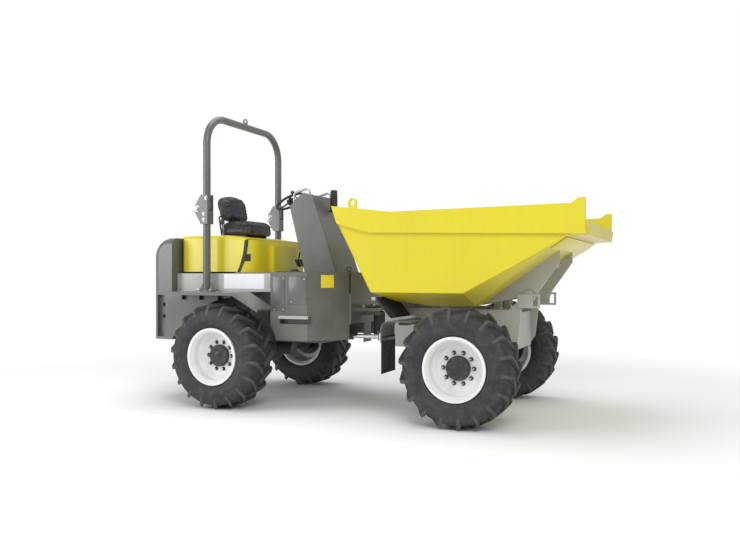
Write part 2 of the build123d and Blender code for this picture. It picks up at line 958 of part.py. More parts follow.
def rops_hoop():
    leg_foot = rops_post_top + rops_split_gap
    path = FilletPolyline(
        (rops_x, rops_half, leg_foot),
        (rops_x, rops_half, rops_top_z),
        (rops_x, -rops_half, rops_top_z),
        (rops_x, -rops_half, leg_foot),
        radius=rops_bend,
    )
    hoop = sweep(Plane(origin=path @ 0, z_dir=path % 0) * Circle(rops_tube_radius), path=path)
    hinge_x, hinge_z = rops_hinge
    lug = block(
        (hinge_x, rops_x),
        (rops_half - rops_tube_radius / 2, rops_half + rops_tube_radius / 2),
        (leg_foot, rops_lug_top),
    )
    lug_inner = rops_half - rops_tube_radius / 2
    lug_outer = rops_half + rops_tube_radius / 2
    lug += cross_pin(hinge_x, hinge_z, rops_lug_radius, lug_inner, lug_outer)
    lug -= cross_pin(hinge_x, hinge_z, rops_pin_radius + running_gap, lug_inner, lug_outer)
    eye_height = rops_top_z + rops_tube_radius + beacon_eye_radius
    eye = side_slab([
        (rops_x - beacon_eye_radius, rops_top_z),
        (rops_x + beacon_eye_radius, rops_top_z),
        (rops_x + beacon_eye_radius, eye_height),
        (rops_x - beacon_eye_radius, eye_height),
    ], -beacon_eye / 2, beacon_eye / 2)
    eye += cross_pin(rops_x, eye_height, beacon_eye_radius, -beacon_eye / 2, beacon_eye / 2)
    eye -= cross_pin(rops_x, eye_height, beacon_eye_hole, -beacon_eye, beacon_eye)
    return hoop + mirrored_pair(lug) + eye


# ---------------------------------------------------------------- pivot and steering cylinder
def pivot_knuckle():
    low = pivot_z - ear_gap + side_gap
    high = pivot_z + ear_gap - side_gap
    knuckle = upright_pin(steer_x, 0, knuckle_radius, low, high)
    knuckle += block((steer_x, knuckle_front_x), (-knuckle_half, knuckle_half), (low, high))
    pin_reach = ear_gap + ear_plate + steer_pin_head
    knuckle += upright_pin(steer_x, 0, steer_pin_radius, pivot_z - pin_reach, pivot_z + pin_reach)
    knuckle += rod_between((steer_x, 0, pivot_z), (swing_shaft_end_x, 0, pivot_z), swing_shaft_radius)
    eye_x, eye_y = steer_eye
    arm_bottom = steer_cylinder_z + steer_eye_height / 2 + running_gap
    boss = steer_eye_radius + frame_plate / 2
    arm = plan_slab([
        (steer_x, 0),
        (knuckle_front_x, 0),
        (knuckle_front_x, -knuckle_half),
        (eye_x + boss, eye_y),
        (eye_x - boss, eye_y),
        (steer_x, -knuckle_half),
    ], arm_bottom, arm_bottom + steer_arm)
    arm += upright_pin(eye_x, eye_y, boss, arm_bottom, arm_bottom + steer_arm)
    return knuckle + arm


steer_line = Vector(steer_eye[0] - steer_base[0], steer_eye[1] - steer_base[1], 0)


def along_steer(distance):
    point = Vector(steer_base[0], steer_base[1], steer_cylinder_z) + steer_line.normalized() * distance
    return (point.X, point.Y, point.Z)


def steer_barrel():
    mouth = steer_line.length - steer_barrel_stop
    half = steer_eye_height / 2
    barrel = rod_between(along_steer(0), along_steer(mouth), steer_barrel_radius)
    gland = steer_barrel_radius + gland_rim
    barrel += rod_between(along_steer(mouth - gland_length), along_steer(mouth), gland)
    barrel += upright_pin(*steer_base, steer_eye_radius, steer_cylinder_z - half, steer_cylinder_z + half)
    bore = rod_between(along_steer(steer_bore_start), along_steer(mouth), steer_rod_radius + running_gap)
    pin_hole = upright_pin(
        *steer_base, steer_base_pin_radius + running_gap, steer_cylinder_z - half, steer_cylinder_z + half
    )
    return barrel - bore - pin_hole


def steer_rod():
    half = steer_eye_height / 2
    rod = rod_between(along_steer(steer_rod_start), along_steer(steer_line.length), steer_rod_radius)
    return rod + upright_pin(*steer_eye, steer_eye_radius, steer_cylinder_z - half, steer_cylinder_z + half)


# ---------------------------------------------------------------- front chassis
def tie_down_eye():
    """A square lashing eye outside the nose of the left side plate."""
    outer_face = frame_half + tie_eye_plate
    x_low, x_high = tie_eye_x
    z_low, z_high = tie_eye_z
    eye = block((nose_x_low, x_high), (frame_half, outer_face), tie_eye_z)
    return eye - block(
        (x_low + tie_eye_margin / 2, x_high - tie_eye_margin),
        (frame_half, outer_face),
        (z_low + tie_eye_margin, z_high - tie_eye_margin),
    )


def front_side_plate():
    pivot_x, pivot_height = skip_pivot
    inner = frame_half - frame_plate
    ear = rib_ear_radius + side_gap
    plate = side_slab([
        (front_frame_x, front_frame_toe),
        (front_frame_bottom_x, frame_bottom),
        (nose_bottom_x, frame_bottom),
        (nose_x_low, nose_knee_z),
        (nose_x_high, front_frame_top),
        (pivot_x + ear, pivot_height),
        (pivot_x - ear, pivot_height),
        (nose_bottom_x - frame_plate, front_frame_top),
        (front_frame_slope_x, front_frame_top),
        (front_frame_head_x, front_frame_head),
        (front_frame_x, front_frame_head),
    ], inner, frame_half)
    plate += cross_pin(pivot_x, pivot_height, ear, inner, frame_half)
    return plate + cross_pin(pivot_x, pivot_height, skip_pin_radius, rib_inner, inner)


def front_frame():
    inner = frame_half - frame_plate
    pad_centre = frame_half - frame_plate / 2
    pad = block(
        pad_x,
        (pad_centre - pad_half_width, pad_centre + pad_half_width),
        (front_frame_top, skip_bottom - running_gap),
    )
    frame = mirrored_pair(front_side_plate() + pad + tie_down_eye())
    carrier = block(
        (front_frame_x, front_frame_x + carrier_plate),
        (-inner, inner),
        (front_frame_toe, front_frame_head),
    )
    tube_start = knuckle_front_x + panel_gap
    carrier += rod_between((tube_start, 0, pivot_z), (swing_tube_end_x, 0, pivot_z), swing_tube_radius)
    bore = swing_shaft_radius + running_gap
    carrier -= rod_between((tube_start, 0, pivot_z), (swing_tube_end_x, 0, pivot_z), bore)
    frame += carrier
    frame += block((nose_plate_x, nose_plate_x + bulkhead), (-inner, inner), (frame_bottom, nose_plate_top))
    crossbar = (crossbar_x - crossbar_width / 2, crossbar_x + crossbar_width / 2)
    frame += block(
        crossbar, (-crossbar_half, crossbar_half), (crossbar_bottom, crossbar_bottom + crossbar_height)
    )
    return frame + cross_pin(*tip_base, tip_base_pin_radius, -inner, inner)


def mudguards():
    path = FilletPolyline(
        (guard_back_x, guard_bottom),
        (guard_back_x, guard_top),
        (guard_front_x, guard_top),
        radius=guard_bend,
    )
    strip = make_face(offset(path, amount=guard_sheet, side=Side.RIGHT))
    sheet = extrude(Plane.XZ.offset(-guard_outer) * strip, amount=guard_outer - guard_inner)
    bar = block(
        guard_bar_x,
        (frame_half, guard_inner + guard_web),
        (guard_top - guard_sheet - guard_bar_height, guard_top - guard_sheet),
    )
    return mirrored_pair(sheet + bar)


def mud_flaps():
    front = guard_back_x + guard_sheet
    return mirrored_pair(block(
        (front, front + flap_sheet),
        (guard_inner, guard_outer),
        (flap_bottom, guard_bottom + flap_lap),
    ))


def deflectors():
    head_x = crossbar_x + crossbar_width / 2
    foot_x, foot_z = deflector_foot
    return mirrored_pair(side_slab([
        (head_x, crossbar_bottom),
        (head_x, crossbar_bottom + crossbar_height),
        (head_x + deflector_sheet, crossbar_bottom + crossbar_height),
        (foot_x + deflector_sheet, foot_z),
        (foot_x, foot_z),
    ], frame_half + side_gap, crossbar_half))


# ---------------------------------------------------------------- skip
chute_slope = (skip_lip_bottom - skip_bottom) / (skip_lip_x - skip_bottom_x[1])


def chute_z(x):
    """Height of the front slope's underside at a given X."""
    return skip_bottom + (x - skip_bottom_x[1]) * chute_slope


def skip_body(inset):
    """The skip's outside, or its hollow when every face is moved in by the wall."""
    high = skip_ear_top + skip_half
    rear_x, rear_z = skip_rear_top
    fold_x, fold_z = skip_rear_fold
    lean = (fold_x - rear_x) / (rear_z - fold_z)
    profile = outline([
        (skip_bottom_x[0], skip_bottom),
        (skip_bottom_x[1], skip_bottom),
        (skip_lip_x, skip_lip_bottom),
        (nose_x, skip_lip_bottom),
        (nose_x, high),
        (rear_x - lean * (high - rear_z), high),
        (fold_x, fold_z),
        (skip_rear_foot_x, skip_side_bottom),
        skip_rear_knee,
    ])
    if inset:
        profile = offset(profile, amount=-inset, kind=Kind.INTERSECTION)
    half = skip_half - inset
    body = extrude(Plane.XZ.offset(-half) * profile, amount=2 * half)
    for side in (1, -1):
        corner = Vector(skip_chute_side_x, side * skip_half, skip_side_bottom)
        foot = Vector(skip_bottom_x[1], side * skip_bottom_half, skip_bottom)
        end = Vector(skip_chute_side_end[0], side * skip_half, skip_chute_side_end[1])
        for direction in (Vector(1, 0, 0), end - corner):
            normal = direction.cross(foot - corner).normalized()
            if normal.Z < 0:
                normal = -normal
            cut = Plane(origin=corner + normal * inset, z_dir=normal)
            body = split(body, bisect_by=cut, keep=Keep.TOP)
    return body


def skip_tub():
    rear_x, rear_z = skip_rear_top
    dip_x, dip_z = skip_side_dip
    rim_line = [
        (rear_x, rear_z),
        (dip_x, dip_z),
        (skip_ear_x, skip_front_top),
        (skip_ear_round_x, skip_ear_top),
    ]
    keep = side_slab(rim_line + [
        (nose_x, skip_ear_top),
        (nose_x, skip_bottom),
        (skip_rear_foot_x, skip_bottom),
        (skip_rear_fold[0] - skip_band, skip_bottom),
        (skip_rear_fold[0] - 3 * skip_band, rear_z),
    ], -skip_half, skip_half)
    tub = (skip_body(0) - skip_body(skip_wall)) & keep
    inside = skip_half - skip_wall
    tub -= block((skip_ear_x, nose_x), (-inside, inside), (skip_lip_top, skip_ear_top))
    tub -= block((skip_band_front_x, nose_x), (-skip_half, skip_half), (skip_lip_top, skip_ear_top))
    band = side_slab(
        rim_line + [(skip_band_front_x, skip_ear_top)] + skip_band_bottom + [skip_rear_fold],
        skip_half, skip_half + skip_band,
    )
    eye_outer = skip_half + skip_band
    eye = block(
        (eye_x - eye_radius, eye_x + eye_radius),
        (eye_outer - eye_plate, eye_outer),
        (skip_side_dip[1], eye_z),
    )
    eye += cross_pin(eye_x, eye_z, eye_radius, eye_outer - eye_plate, eye_outer)
    eye -= cross_pin(eye_x, eye_z, eye_hole_radius, eye_outer - eye_plate, eye_outer)
    return tub + mirrored_pair(band + eye)


def skip_brackets():
    pivot_x, pivot_height = skip_pivot
    ear = rib_ear_radius
    rib = side_slab([
        (skip_bottom_x[1], chute_z(skip_bottom_x[1])),
        (rib_top_x, chute_z(rib_top_x)),
        (rib_top_x, chute_z(rib_top_x) - rib_depth),
        (pivot_x + ear, pivot_height),
        (pivot_x - ear, pivot_height),
    ], rib_inner, rib_inner + rib_plate)
    rib += cross_pin(pivot_x, pivot_height, ear, rib_inner, rib_inner + rib_plate)
    rib -= cross_pin(pivot_x, pivot_height, skip_pin_radius + running_gap, rib_inner, rib_inner + rib_plate)
    eye_x_mid, eye_z_mid = tip_eye
    reach = tip_eye_radius
    lug_outline = [
        (eye_x_mid - reach, eye_z_mid),
        (eye_x_mid + reach, eye_z_mid),
        (eye_x_mid + reach, chute_z(eye_x_mid + reach)),
        (eye_x_mid - reach, chute_z(eye_x_mid - reach)),
    ]
    for side in (-1, 1):
        face = tip_half + side * (tip_eye_width / 2 + side_gap)
        low, high = sorted((face, face + side * lug_plate))
        rib += side_slab(lug_outline, low, high)
        rib += cross_pin(eye_x_mid, eye_z_mid, reach, low, high)
    brackets = mirrored_pair(rib)
    tie_x = (pivot_x + rib_top_x) / 2
    tie_drop = (rib_tie_radius + side_gap) * math.hypot(1, chute_slope)
    tie = cross_pin(tie_x, chute_z(tie_x) - tie_drop, rib_tie_radius, -rib_inner, rib_inner)
    return brackets + tie


# ---------------------------------------------------------------- tipping cylinders
tip_line = Vector(tip_eye[0] - tip_base[0], 0, tip_eye[1] - tip_base[1])


def along_tip(distance):
    point = Vector(tip_base[0], tip_half, tip_base[1]) + tip_line.normalized() * distance
    return (point.X, point.Y, point.Z)


def tip_barrels():
    mouth = tip_line.length - tip_barrel_mouth
    low, high = tip_half - tip_eye_width / 2, tip_half + tip_eye_width / 2
    barrel = rod_between(along_tip(0), along_tip(mouth), tip_barrel_radius)
    gland = tip_barrel_radius + gland_rim
    barrel += rod_between(along_tip(mouth - gland_length), along_tip(mouth), gland)
    barrel += cross_pin(*tip_base, tip_base_eye_radius, low, high)
    barrel -= rod_between(along_tip(tip_rod_tail - side_gap), along_tip(mouth), tip_rod_radius + running_gap)
    bore = cross_pin(*tip_base, tip_base_pin_radius + running_gap, 0, tip_half + tip_barrel_radius)
    return mirrored_pair(barrel - bore)


def tip_rods():
    low, high = tip_half - tip_eye_width / 2, tip_half + tip_eye_width / 2
    rod = rod_between(along_tip(tip_rod_tail), along_tip(tip_line.length), tip_rod_radius)
    rod += cross_pin(*tip_eye, tip_eye_radius, low, high)
    return mirrored_pair(rod)


# ---------------------------------------------------------------- parts list
nodes = {
    "rear_frame": rear_frame(),
    "counterweight": counterweight(),
    "rear_axle": axle(rear_axle_x, 1),
    "engine_block": engine_block(),
    "bay_panels": bay_panels(),
    "rear_fenders": rear_fenders(),
    "side_tanks": side_tanks(),
    "deck_plate": deck_plate(),
    "front_cowl": front_cowl(),
    "console": console(),
    "console_rails": console_rails() - console(),
    "work_lamp": work_lamp() - console(),
    "steering_column": steering_column(),
    "rops_posts": rops_posts(),
    "tail_lamps": tail_lamps(),
    "hood_shell": hood_shell(),
    "seat_base": seat_base(),
    "seat_cushion": seat_cushion(),
    "seat_back": seat_back(),
    "rops_hoop": rops_hoop(),
    "steering_wheel": steering_wheel(),
    "pivot_knuckle": pivot_knuckle(),
    "front_frame": front_frame(),
    "front_axle": axle(front_axle_x, -1),
    "mudguards": mudguards(),
    "mud_flaps": mud_flaps(),
    "deflectors": deflectors(),
    "skip_tub": skip_tub(),
    "skip_brackets": skip_brackets(),
    "tip_barrels": tip_barrels(),
    "tip_rods": tip_rods(),
    "steer_barrel": steer_barrel(),
    "steer_rod": steer_rod(),
}

wheel_pieces = {"tyre": tyre(), "rim": rim(), "hub": hub()}
for end, x in (("front", front_axle_x), ("rear", rear_axle_x)):
    for side, y in (("left", track / 2), ("right", -track / 2)):
        place = Pos(x, y, wheel_z)
        for name, piece in wheel_pieces.items():
            facing = piece if side == "left" else mirror(piece, about=Plane.XZ)
            nodes[f"{name}_{end}_{side}"] = place * facing

for name, shape in nodes.items():
    export_step(shape, f"parts/{name}.step")
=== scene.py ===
import json
import math

import bmesh
import bpy
from mathutils import Matrix, Vector


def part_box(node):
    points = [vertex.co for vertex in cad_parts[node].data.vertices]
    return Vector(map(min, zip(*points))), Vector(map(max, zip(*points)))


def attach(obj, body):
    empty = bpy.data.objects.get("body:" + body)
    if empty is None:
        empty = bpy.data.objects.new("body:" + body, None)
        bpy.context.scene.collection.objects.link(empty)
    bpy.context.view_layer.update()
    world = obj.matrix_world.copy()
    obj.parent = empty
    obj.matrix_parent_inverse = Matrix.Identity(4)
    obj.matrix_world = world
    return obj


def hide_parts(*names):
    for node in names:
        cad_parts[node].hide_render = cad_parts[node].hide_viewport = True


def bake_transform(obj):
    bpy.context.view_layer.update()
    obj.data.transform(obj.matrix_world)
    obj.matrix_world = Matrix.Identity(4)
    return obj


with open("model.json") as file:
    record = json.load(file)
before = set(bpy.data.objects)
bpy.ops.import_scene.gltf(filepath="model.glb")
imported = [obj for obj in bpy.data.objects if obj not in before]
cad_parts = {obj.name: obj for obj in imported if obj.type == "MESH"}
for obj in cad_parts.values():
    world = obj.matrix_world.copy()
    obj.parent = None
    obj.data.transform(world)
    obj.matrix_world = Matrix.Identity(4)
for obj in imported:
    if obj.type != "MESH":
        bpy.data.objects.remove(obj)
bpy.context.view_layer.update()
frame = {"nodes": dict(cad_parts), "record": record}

# Site dumper. Metres, +X forwards to the skip, +Y to the driver's left, +Z up from the ground.

record = frame["record"]
slotOf = {part["node"]: part["material_slot"] for part in record["subparts"]}
sides = {"left": 1, "right": -1}
axles = {"front": 1.247, "rear": -1.327}
halfTrack, wheelRadius = 0.905, 0.5375
chassis = "rear_chassis"


def configure(thing, **settings):
    for name, value in settings.items():
        setattr(thing, name, value)


# Node graphs: one method makes every node, and fields carry the maths.
class Field:
    def __init__(self, graph, socket):
        self.graph = graph
        self.socket = socket

    def maths(self, operation, *others):
        values = dict(enumerate((self, *others)))
        return self.graph.make("ShaderNodeMath", {"operation": operation}, values).out(0)

    def __add__(self, other):
        return self.maths("ADD", other)

    def __mul__(self, other):
        return self.maths("MULTIPLY", other)

    def __sub__(self, other):
        return self.maths("SUBTRACT", other)

    def __truediv__(self, other):
        return self.maths("DIVIDE", other)

    def __rsub__(self, other):
        return self.maths("MULTIPLY", -1.0).maths("ADD", other)

    def __rtruediv__(self, other):
        return self.maths("POWER", -1.0).maths("MULTIPLY", other)

    __radd__ = __add__
    __rmul__ = __mul__

    def between(self, low, high):
        settings = {"interpolation_type": "SMOOTHSTEP"}
        values = {"Value": self, "From Min": low, "From Max": high}
        return self.graph.make("ShaderNodeMapRange", settings, values).out("Result")

    def held(self):
        return self.maths("MAXIMUM", 0.0).maths("MINIMUM", 1.0)


class Made:
    def __init__(self, graph, node):
        self.graph = graph
        self.node = node

    def out(self, name):
        return Field(self.graph, self.node.outputs[name])


class Graph:
    def __init__(self, tree, owner=None):
        self.tree = tree
        self.owner = owner

    def make(self, kind, settings, values):
        node = self.tree.nodes.new(kind)
        configure(node, **settings)
        for name, value in values.items():
            if isinstance(value, Field):
                self.tree.links.new(value.socket, node.inputs[name])
            else:
                node.inputs[name].default_value = value
        return Made(self, node)

    def first(self, kind, values):
        return self.make(kind, {}, values).out(0)

    def noise(self, coords, scale, detail=3.0, distortion=0.0):
        values = {"Vector": coords, "Scale": scale, "Detail": detail, "Distortion": distortion}
        return self.first("ShaderNodeTexNoise", values)

    def blend(self, factor, first, second):
        settings = {"data_type": "RGBA"}
        values = {0: factor, 6: first, 7: second}
        return self.make("ShaderNodeMix", settings, values).out(2)

    def stretched(self, coords, scale):
        return self.first("ShaderNodeMapping", {"Vector": coords, "Scale": scale})


def opaque(colour):
    return (*colour, 1.0)


def newMaterial(name):
    material = bpy.data.materials.new(name)
    material.use_nodes = True
    material.node_tree.nodes.clear()
    graph = Graph(material.node_tree, material)
    return graph, graph.make("ShaderNodeTexCoord", {}, {}).out("Object")


def closed(graph, values, bump, depth, strength):
    relief = {"Height": bump, "Distance": depth, "Strength": strength}
    values["Normal"] = graph.first("ShaderNodeBump", relief)
    surface = graph.first("ShaderNodeBsdfPrincipled", values)
    graph.make("ShaderNodeOutputMaterial", {}, {"Surface": surface})
    return graph.owner


# Finishes, by the record's slots. Scales are per metre.
paintLook = {"broadScale": 1.3, "patchScale": 7.0, "speckScale": 46.0, "peelScale": 260.0}
wearAndSheenTones = {
    "dust": (0.47, 0.43, 0.36), "chip": (0.2, 0.18, 0.16), "film": (0.3, 0.28, 0.25),
    # The next tone also serves as a painted highlight on the tyre lug tops, besides scuffing.
    "scuffAndSheen": (0.21, 0.195, 0.175),
}


def painted(name, colour, roughness=0.38, coat=0.25, dust=0.5, chips=0.35, shade=0.86):
    graph, coords = newMaterial(name)
    height = graph.make("ShaderNodeSeparateXYZ", {}, {0: coords}).out("Z")
    broad = graph.noise(coords, paintLook["broadScale"], 4.0)
    patch = graph.noise(coords, paintLook["patchScale"], 6.0, 0.4)
    speck = graph.noise(coords, paintLook["speckScale"], 5.0)
    peel = graph.noise(coords, paintLook["peelScale"], 1.0)
    runs = graph.noise(graph.stretched(coords, (30.0, 30.0, 1.6)), 1.0, 4.0)
    low = 1.0 - height.between(0.25, 1.5)
    grime = ((patch * 0.55 + broad * 0.25 + runs * 0.3 - 0.5) * 2.2 + low * 0.7).held() * dust
    scratch = graph.noise(graph.stretched(coords, (9.0, 9.0, 130.0)), 1.0, 2.0)
    marks = scratch.between(0.705, 0.74) * patch.between(0.5, 0.62) * chips
    nicks = speck.between(0.735, 0.765) * broad.between(0.44, 0.6) * chips
    darker = opaque([channel * shade for channel in colour])
    tone = graph.blend((broad * 0.7 + runs * 0.3).between(0.3, 0.75), opaque(colour), darker)
    dusty = graph.blend(grime * 0.55, tone, opaque(wearAndSheenTones["dust"]))
    worn = graph.blend((marks + nicks).held(), dusty, opaque(wearAndSheenTones["chip"]))
    values = {
        "Base Color": worn,
        "Roughness": (roughness + grime * 0.4 + peel * 0.06 + marks * 0.2).held(),
        "Coat Weight": (coat - grime * 0.5).held(),
        "Coat Roughness": 0.18,
    }
    relief = peel * 0.14 + patch * 0.5 - (marks + nicks) * 0.8
    return closed(graph, values, relief, 0.0012, 0.5)


def rubbery(name, colour, dust=0.5, grain=260.0, roughness=0.75, scuffAndSheenAmount=0.0):
    graph, coords = newMaterial(name)
    height = graph.make("ShaderNodeSeparateXYZ", {}, {0: coords}).out("Z")
    broad = graph.noise(coords, 3.0, 4.0)
    patch = graph.noise(coords, 17.0, 6.0, 0.5)
    fine = graph.noise(coords, grain, 3.0)
    low = 1.0 - height.between(0.0, 0.5)
    film = ((patch * 0.6 + broad * 0.6 - 0.5) * 2.0 + low * 0.25).held() * dust
    tone = graph.blend(patch.between(0.3, 0.7), opaque(colour), opaque([c * 1.5 for c in colour]))
    dusty = graph.blend(film * 0.5, tone, opaque(wearAndSheenTones["film"]))
    # Lug tops are painted lighter: partly scuffing, partly a painted highlight.
    worn = graph.make("ShaderNodeAttribute", {"attribute_name": "worn"}, {}).out(2)
    scuffAndSheenMask = (worn * (0.6 + patch * 0.6)).held() * scuffAndSheenAmount
    dusty = graph.blend(scuffAndSheenMask, dusty, opaque(wearAndSheenTones["scuffAndSheen"]))
    values = {"Base Color": dusty, "Roughness": (roughness + film * 0.2 - fine * 0.1).held()}
    return closed(graph, values, fine * 0.6 + patch * 0.4, 0.002, 0.45)


def steely(name, colour, roughness=0.22, lines=(2.0, 900.0, 2.0), metal=1.0):
    graph, coords = newMaterial(name)
    smear = graph.noise(coords, 12.0, 5.0, 0.6)
    drawn = graph.noise(graph.stretched(coords, lines), 1.0, 3.0)
    oily = smear.between(0.5, 0.72)
    tone = graph.blend(oily * 0.5, opaque(colour), opaque([c * 0.45 for c in colour]))
    values = {
        "Base Color": tone,
        "Roughness": (roughness + smear * 0.2 + drawn * 0.08).held(),
        "Metallic": metal,
    }
    return closed(graph, values, drawn, 0.0003, 0.5)


def moulded(name, colour, roughness=0.5, cellScale=420.0, depth=0.0008, coat=0.0):
    graph, coords = newMaterial(name)
    patch = graph.noise(coords, 11.0, 5.0, 0.3)
    cells = graph.first("ShaderNodeTexVoronoi", {"Vector": coords, "Scale": cellScale})
    rub = patch.between(0.52, 0.75)
    tone = graph.blend(rub * 0.5, opaque(colour), opaque([c * 1.9 + 0.02 for c in colour]))
    values = {
        "Base Color": tone,
        "Roughness": (roughness - rub * 0.12 + cells * 0.08).held(),
        "Coat Weight": (rub * coat).held(),
    }
    return closed(graph, values, cells * 0.7 + patch * 0.6, depth, 0.5)


def lensLike(name, colour, ribs=60.0):
    graph, coords = newMaterial(name)
    patch = graph.noise(coords, 30.0, 4.0)
    wave = graph.make("ShaderNodeTexWave", {"bands_direction": "Y"}, {"Vector": coords, "Scale": ribs})
    tone = graph.blend(patch.between(0.3, 0.8), opaque(colour), opaque([c * 0.6 for c in colour]))
    values = {"Base Color": tone, "Roughness": (0.12 + patch * 0.15).held(), "Coat Weight": 0.6}
    return closed(graph, values, wave.out(1), 0.0006, 0.4)


materials = {
    "yellow_paint": painted("yellowPaint", (0.69, 0.585, 0.012), 0.34, 0.25, 0.16, 0.22, 0.94),
    "dark_grey_paint": painted("darkGreyPaint", (0.106, 0.11, 0.099), 0.36, 0.35, 0.32, 0.3, 0.88),
    "light_grey_paint": painted("lightGreyPaint", (0.45, 0.46, 0.43), 0.4, 0.2, 0.35, 0.35, 0.86),
    "white_rim_paint": painted("rimPaint", (0.86, 0.86, 0.86), 0.36, 0.3, 0.28, 0.3, 0.93),
    "hub_black": painted("hubBlack", (0.011, 0.011, 0.012), 0.42, 0.1, 0.08, 0.3, 0.8),
    "black_iron": painted("blackIron", (0.022, 0.022, 0.024), 0.5, 0.0, 0.28, 0.4, 0.8),
    "polished_rod": steely("polishedRod", (0.72, 0.73, 0.75), 0.1),
    "bright_steel": steely("brightSteel", (0.5, 0.5, 0.49), 0.32, (300.0, 2.0, 300.0)),
    "black_plastic": moulded("blackPlastic", (0.018, 0.018, 0.02), 0.5),
    "black_vinyl": moulded("blackVinyl", (0.022, 0.022, 0.028), 0.42, 520.0, 0.0015, 0.15),
    "black_rubber": rubbery("blackRubber", (0.02, 0.02, 0.021), 0.4),
    # The tyre's last figure lightens the lug tops: scuffing and a painted highlight.
    "tyre_rubber": rubbery("tyreRubber", (0.017, 0.017, 0.019), 0.3, 190.0, 0.68, 0.22),
    "lamp_red": lensLike("lampRed", (0.42, 0.008, 0.006)),
}
for nodeName, nodeObject in frame["nodes"].items():
    for materialSlot in nodeObject.material_slots:
        materialSlot.material = materials[slotOf[nodeName]]
print("materials done")


# Mesh building.
def linked(name, data):
    made = bpy.data.objects.new(name, data)
    bpy.context.scene.collection.objects.link(made)
    return made


def evaluated(thing):
    depsgraph = bpy.context.evaluated_depsgraph_get()
    return bpy.data.meshes.new_from_object(thing.evaluated_get(depsgraph), depsgraph=depsgraph)


def toMesh(bm, place=None):
    bmesh.ops.recalc_face_normals(bm, faces=bm.faces[:])
    mesh = bpy.data.meshes.new("shape")
    bm.to_mesh(mesh)
    bm.free()
    if place is not None:
        mesh.transform(place)
    return mesh


def joined(meshes):
    bm = bmesh.new()
    for mesh in meshes:
        bm.from_mesh(mesh)
    mesh = bpy.data.meshes.new("joined")
    bm.to_mesh(mesh)
    bm.free()
    return mesh


def copied(mesh, place):
    twin = mesh.copy()
    twin.transform(place)
    if place.determinant() < 0:
        twin.flip_normals()
    return twin


def bothSides(mesh):
    return joined([mesh, copied(mesh, Matrix.Scale(-1, 4, (0, 1, 0)))])


def addPiece(name, mesh, body, slotName, sharp=38):
    mesh.materials.clear()
    mesh.materials.append(materials[slotName])
    mesh.polygons.foreach_set("material_index", [0] * len(mesh.polygons))
    mesh.shade_smooth()
    mesh.set_sharp_from_angle(angle=math.radians(sharp))
    piece = linked(name, mesh)
    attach(piece, body)
    return piece


def skinned(bm, lines, ring=True):
    count = len(lines[0])
    for near, far in zip(lines, lines[1:]):
        for here in range(count if ring else count - 1):
            there = (here + 1) % count
            bm.faces.new((near[here], near[there], far[there], far[here]))


def lathe(profile, steps, place=None, ring=False):
    bm = bmesh.new()
    lines = []
    for step in range(steps):
        turn = 2 * math.pi * step / steps
        lines.append([bm.verts.new((r * math.cos(turn), r * math.sin(turn), h)) for r, h in profile])
    skinned(bm, lines + lines[:1], ring)
    bmesh.ops.remove_doubles(bm, verts=bm.verts[:], dist=1e-6)
    return toMesh(bm, place)


def roundedBox(low, high, radius=0.004, segments=2, place=None):
    bm = bmesh.new()
    bmesh.ops.create_cube(bm, size=1)
    for vert in bm.verts:
        vert.co = [a + (b - a) * (c + 0.5) for a, b, c in zip(low, high, vert.co)]
    bmesh.ops.bevel(
        bm, geom=bm.edges[:], offset=radius, segments=segments, profile=0.5, affect="EDGES",
        clamp_overlap=True)
    return toMesh(bm, place)


def slab(points, low, high, bevel=0.002):
    bm = bmesh.new()
    face = bm.faces.new([bm.verts.new((x, low, z)) for x, z in points])
    grown = bmesh.ops.extrude_face_region(bm, geom=[face])
    moved = [item for item in grown["geom"] if isinstance(item, bmesh.types.BMVert)]
    bmesh.ops.translate(bm, verts=moved, vec=(0, high - low, 0))
    if bevel:
        rims = [edge for edge in bm.edges if abs(edge.verts[0].co.y - edge.verts[1].co.y) < 1e-6]
        bmesh.ops.bevel(bm, geom=rims, offset=bevel, segments=2, profile=0.5, affect="EDGES")
    return toMesh(bm)


def aimed(origin, direction):
    return Matrix.Translation(origin) @ Vector(direction).to_track_quat("Z", "Y").to_matrix().to_4x4()


def tube(points, radius, around=12):
    bm = bmesh.new()
    points = [Vector(point) for point in points]
    along = (points[1] - points[0]).normalized()
    side = along.orthogonal().normalized()
    rings = []
    for index, point in enumerate(points):
        before = points[max(index - 1, 0)]
        after = points[min(index + 1, len(points) - 1)]
        heading = (after - before).normalized()
        side = (side - heading * side.dot(heading)).normalized()
        other = heading.cross(side)
        rings.append([
            bm.verts.new(point + (side * math.cos(turn) + other * math.sin(turn)) * radius)
            for turn in (2 * math.pi * step / around for step in range(around))
        ])
    skinned(bm, rings)
    bm.faces.new(rings[0])
    bm.faces.new(rings[-1])
    return toMesh(bm)


def curveThrough(start, startHeading, end, endHeading, pull, count=28):
    start, end = Vector(start), Vector(end)
    first = start + Vector(startHeading) * pull
    last = end + Vector(endHeading) * pull
    points = []
    for step in range(count + 1):
        t = step / count
        points.append(
            start * (1 - t) ** 3 + first * 3 * t * (1 - t) ** 2 + last * 3 * t * t * (1 - t) + end * t ** 3)
    return points


def filleted(corners, radius, steps=6):
    corners = [Vector(corner) for corner in corners]
    points = [corners[0]]
    for before, corner, after in zip(corners, corners[1:], corners[2:]):
        back = (before - corner).normalized()
        ahead = (after - corner).normalized()
        for step in range(steps + 1):
            t = step / steps
            points.append(corner + back * radius * (1 - t) ** 2 + ahead * radius * t ** 2)
    return points + [corners[-1]]


# Geometry Nodes: trees with named inputs, evaluated into plain meshes.
def newTree(name, inputs):
    tree = bpy.data.node_groups.new(name, "GeometryNodeTree")
    for label, kind in {"Geometry": "Geometry", **inputs, "Material": "Material"}.items():
        tree.interface.new_socket(label, in_out="INPUT", socket_type=f"NodeSocket{kind}")
    tree.interface.new_socket("Geometry", in_out="OUTPUT", socket_type="NodeSocketGeometry")
    graph = Graph(tree)
    return graph, graph.make("NodeGroupInput", {}, {})


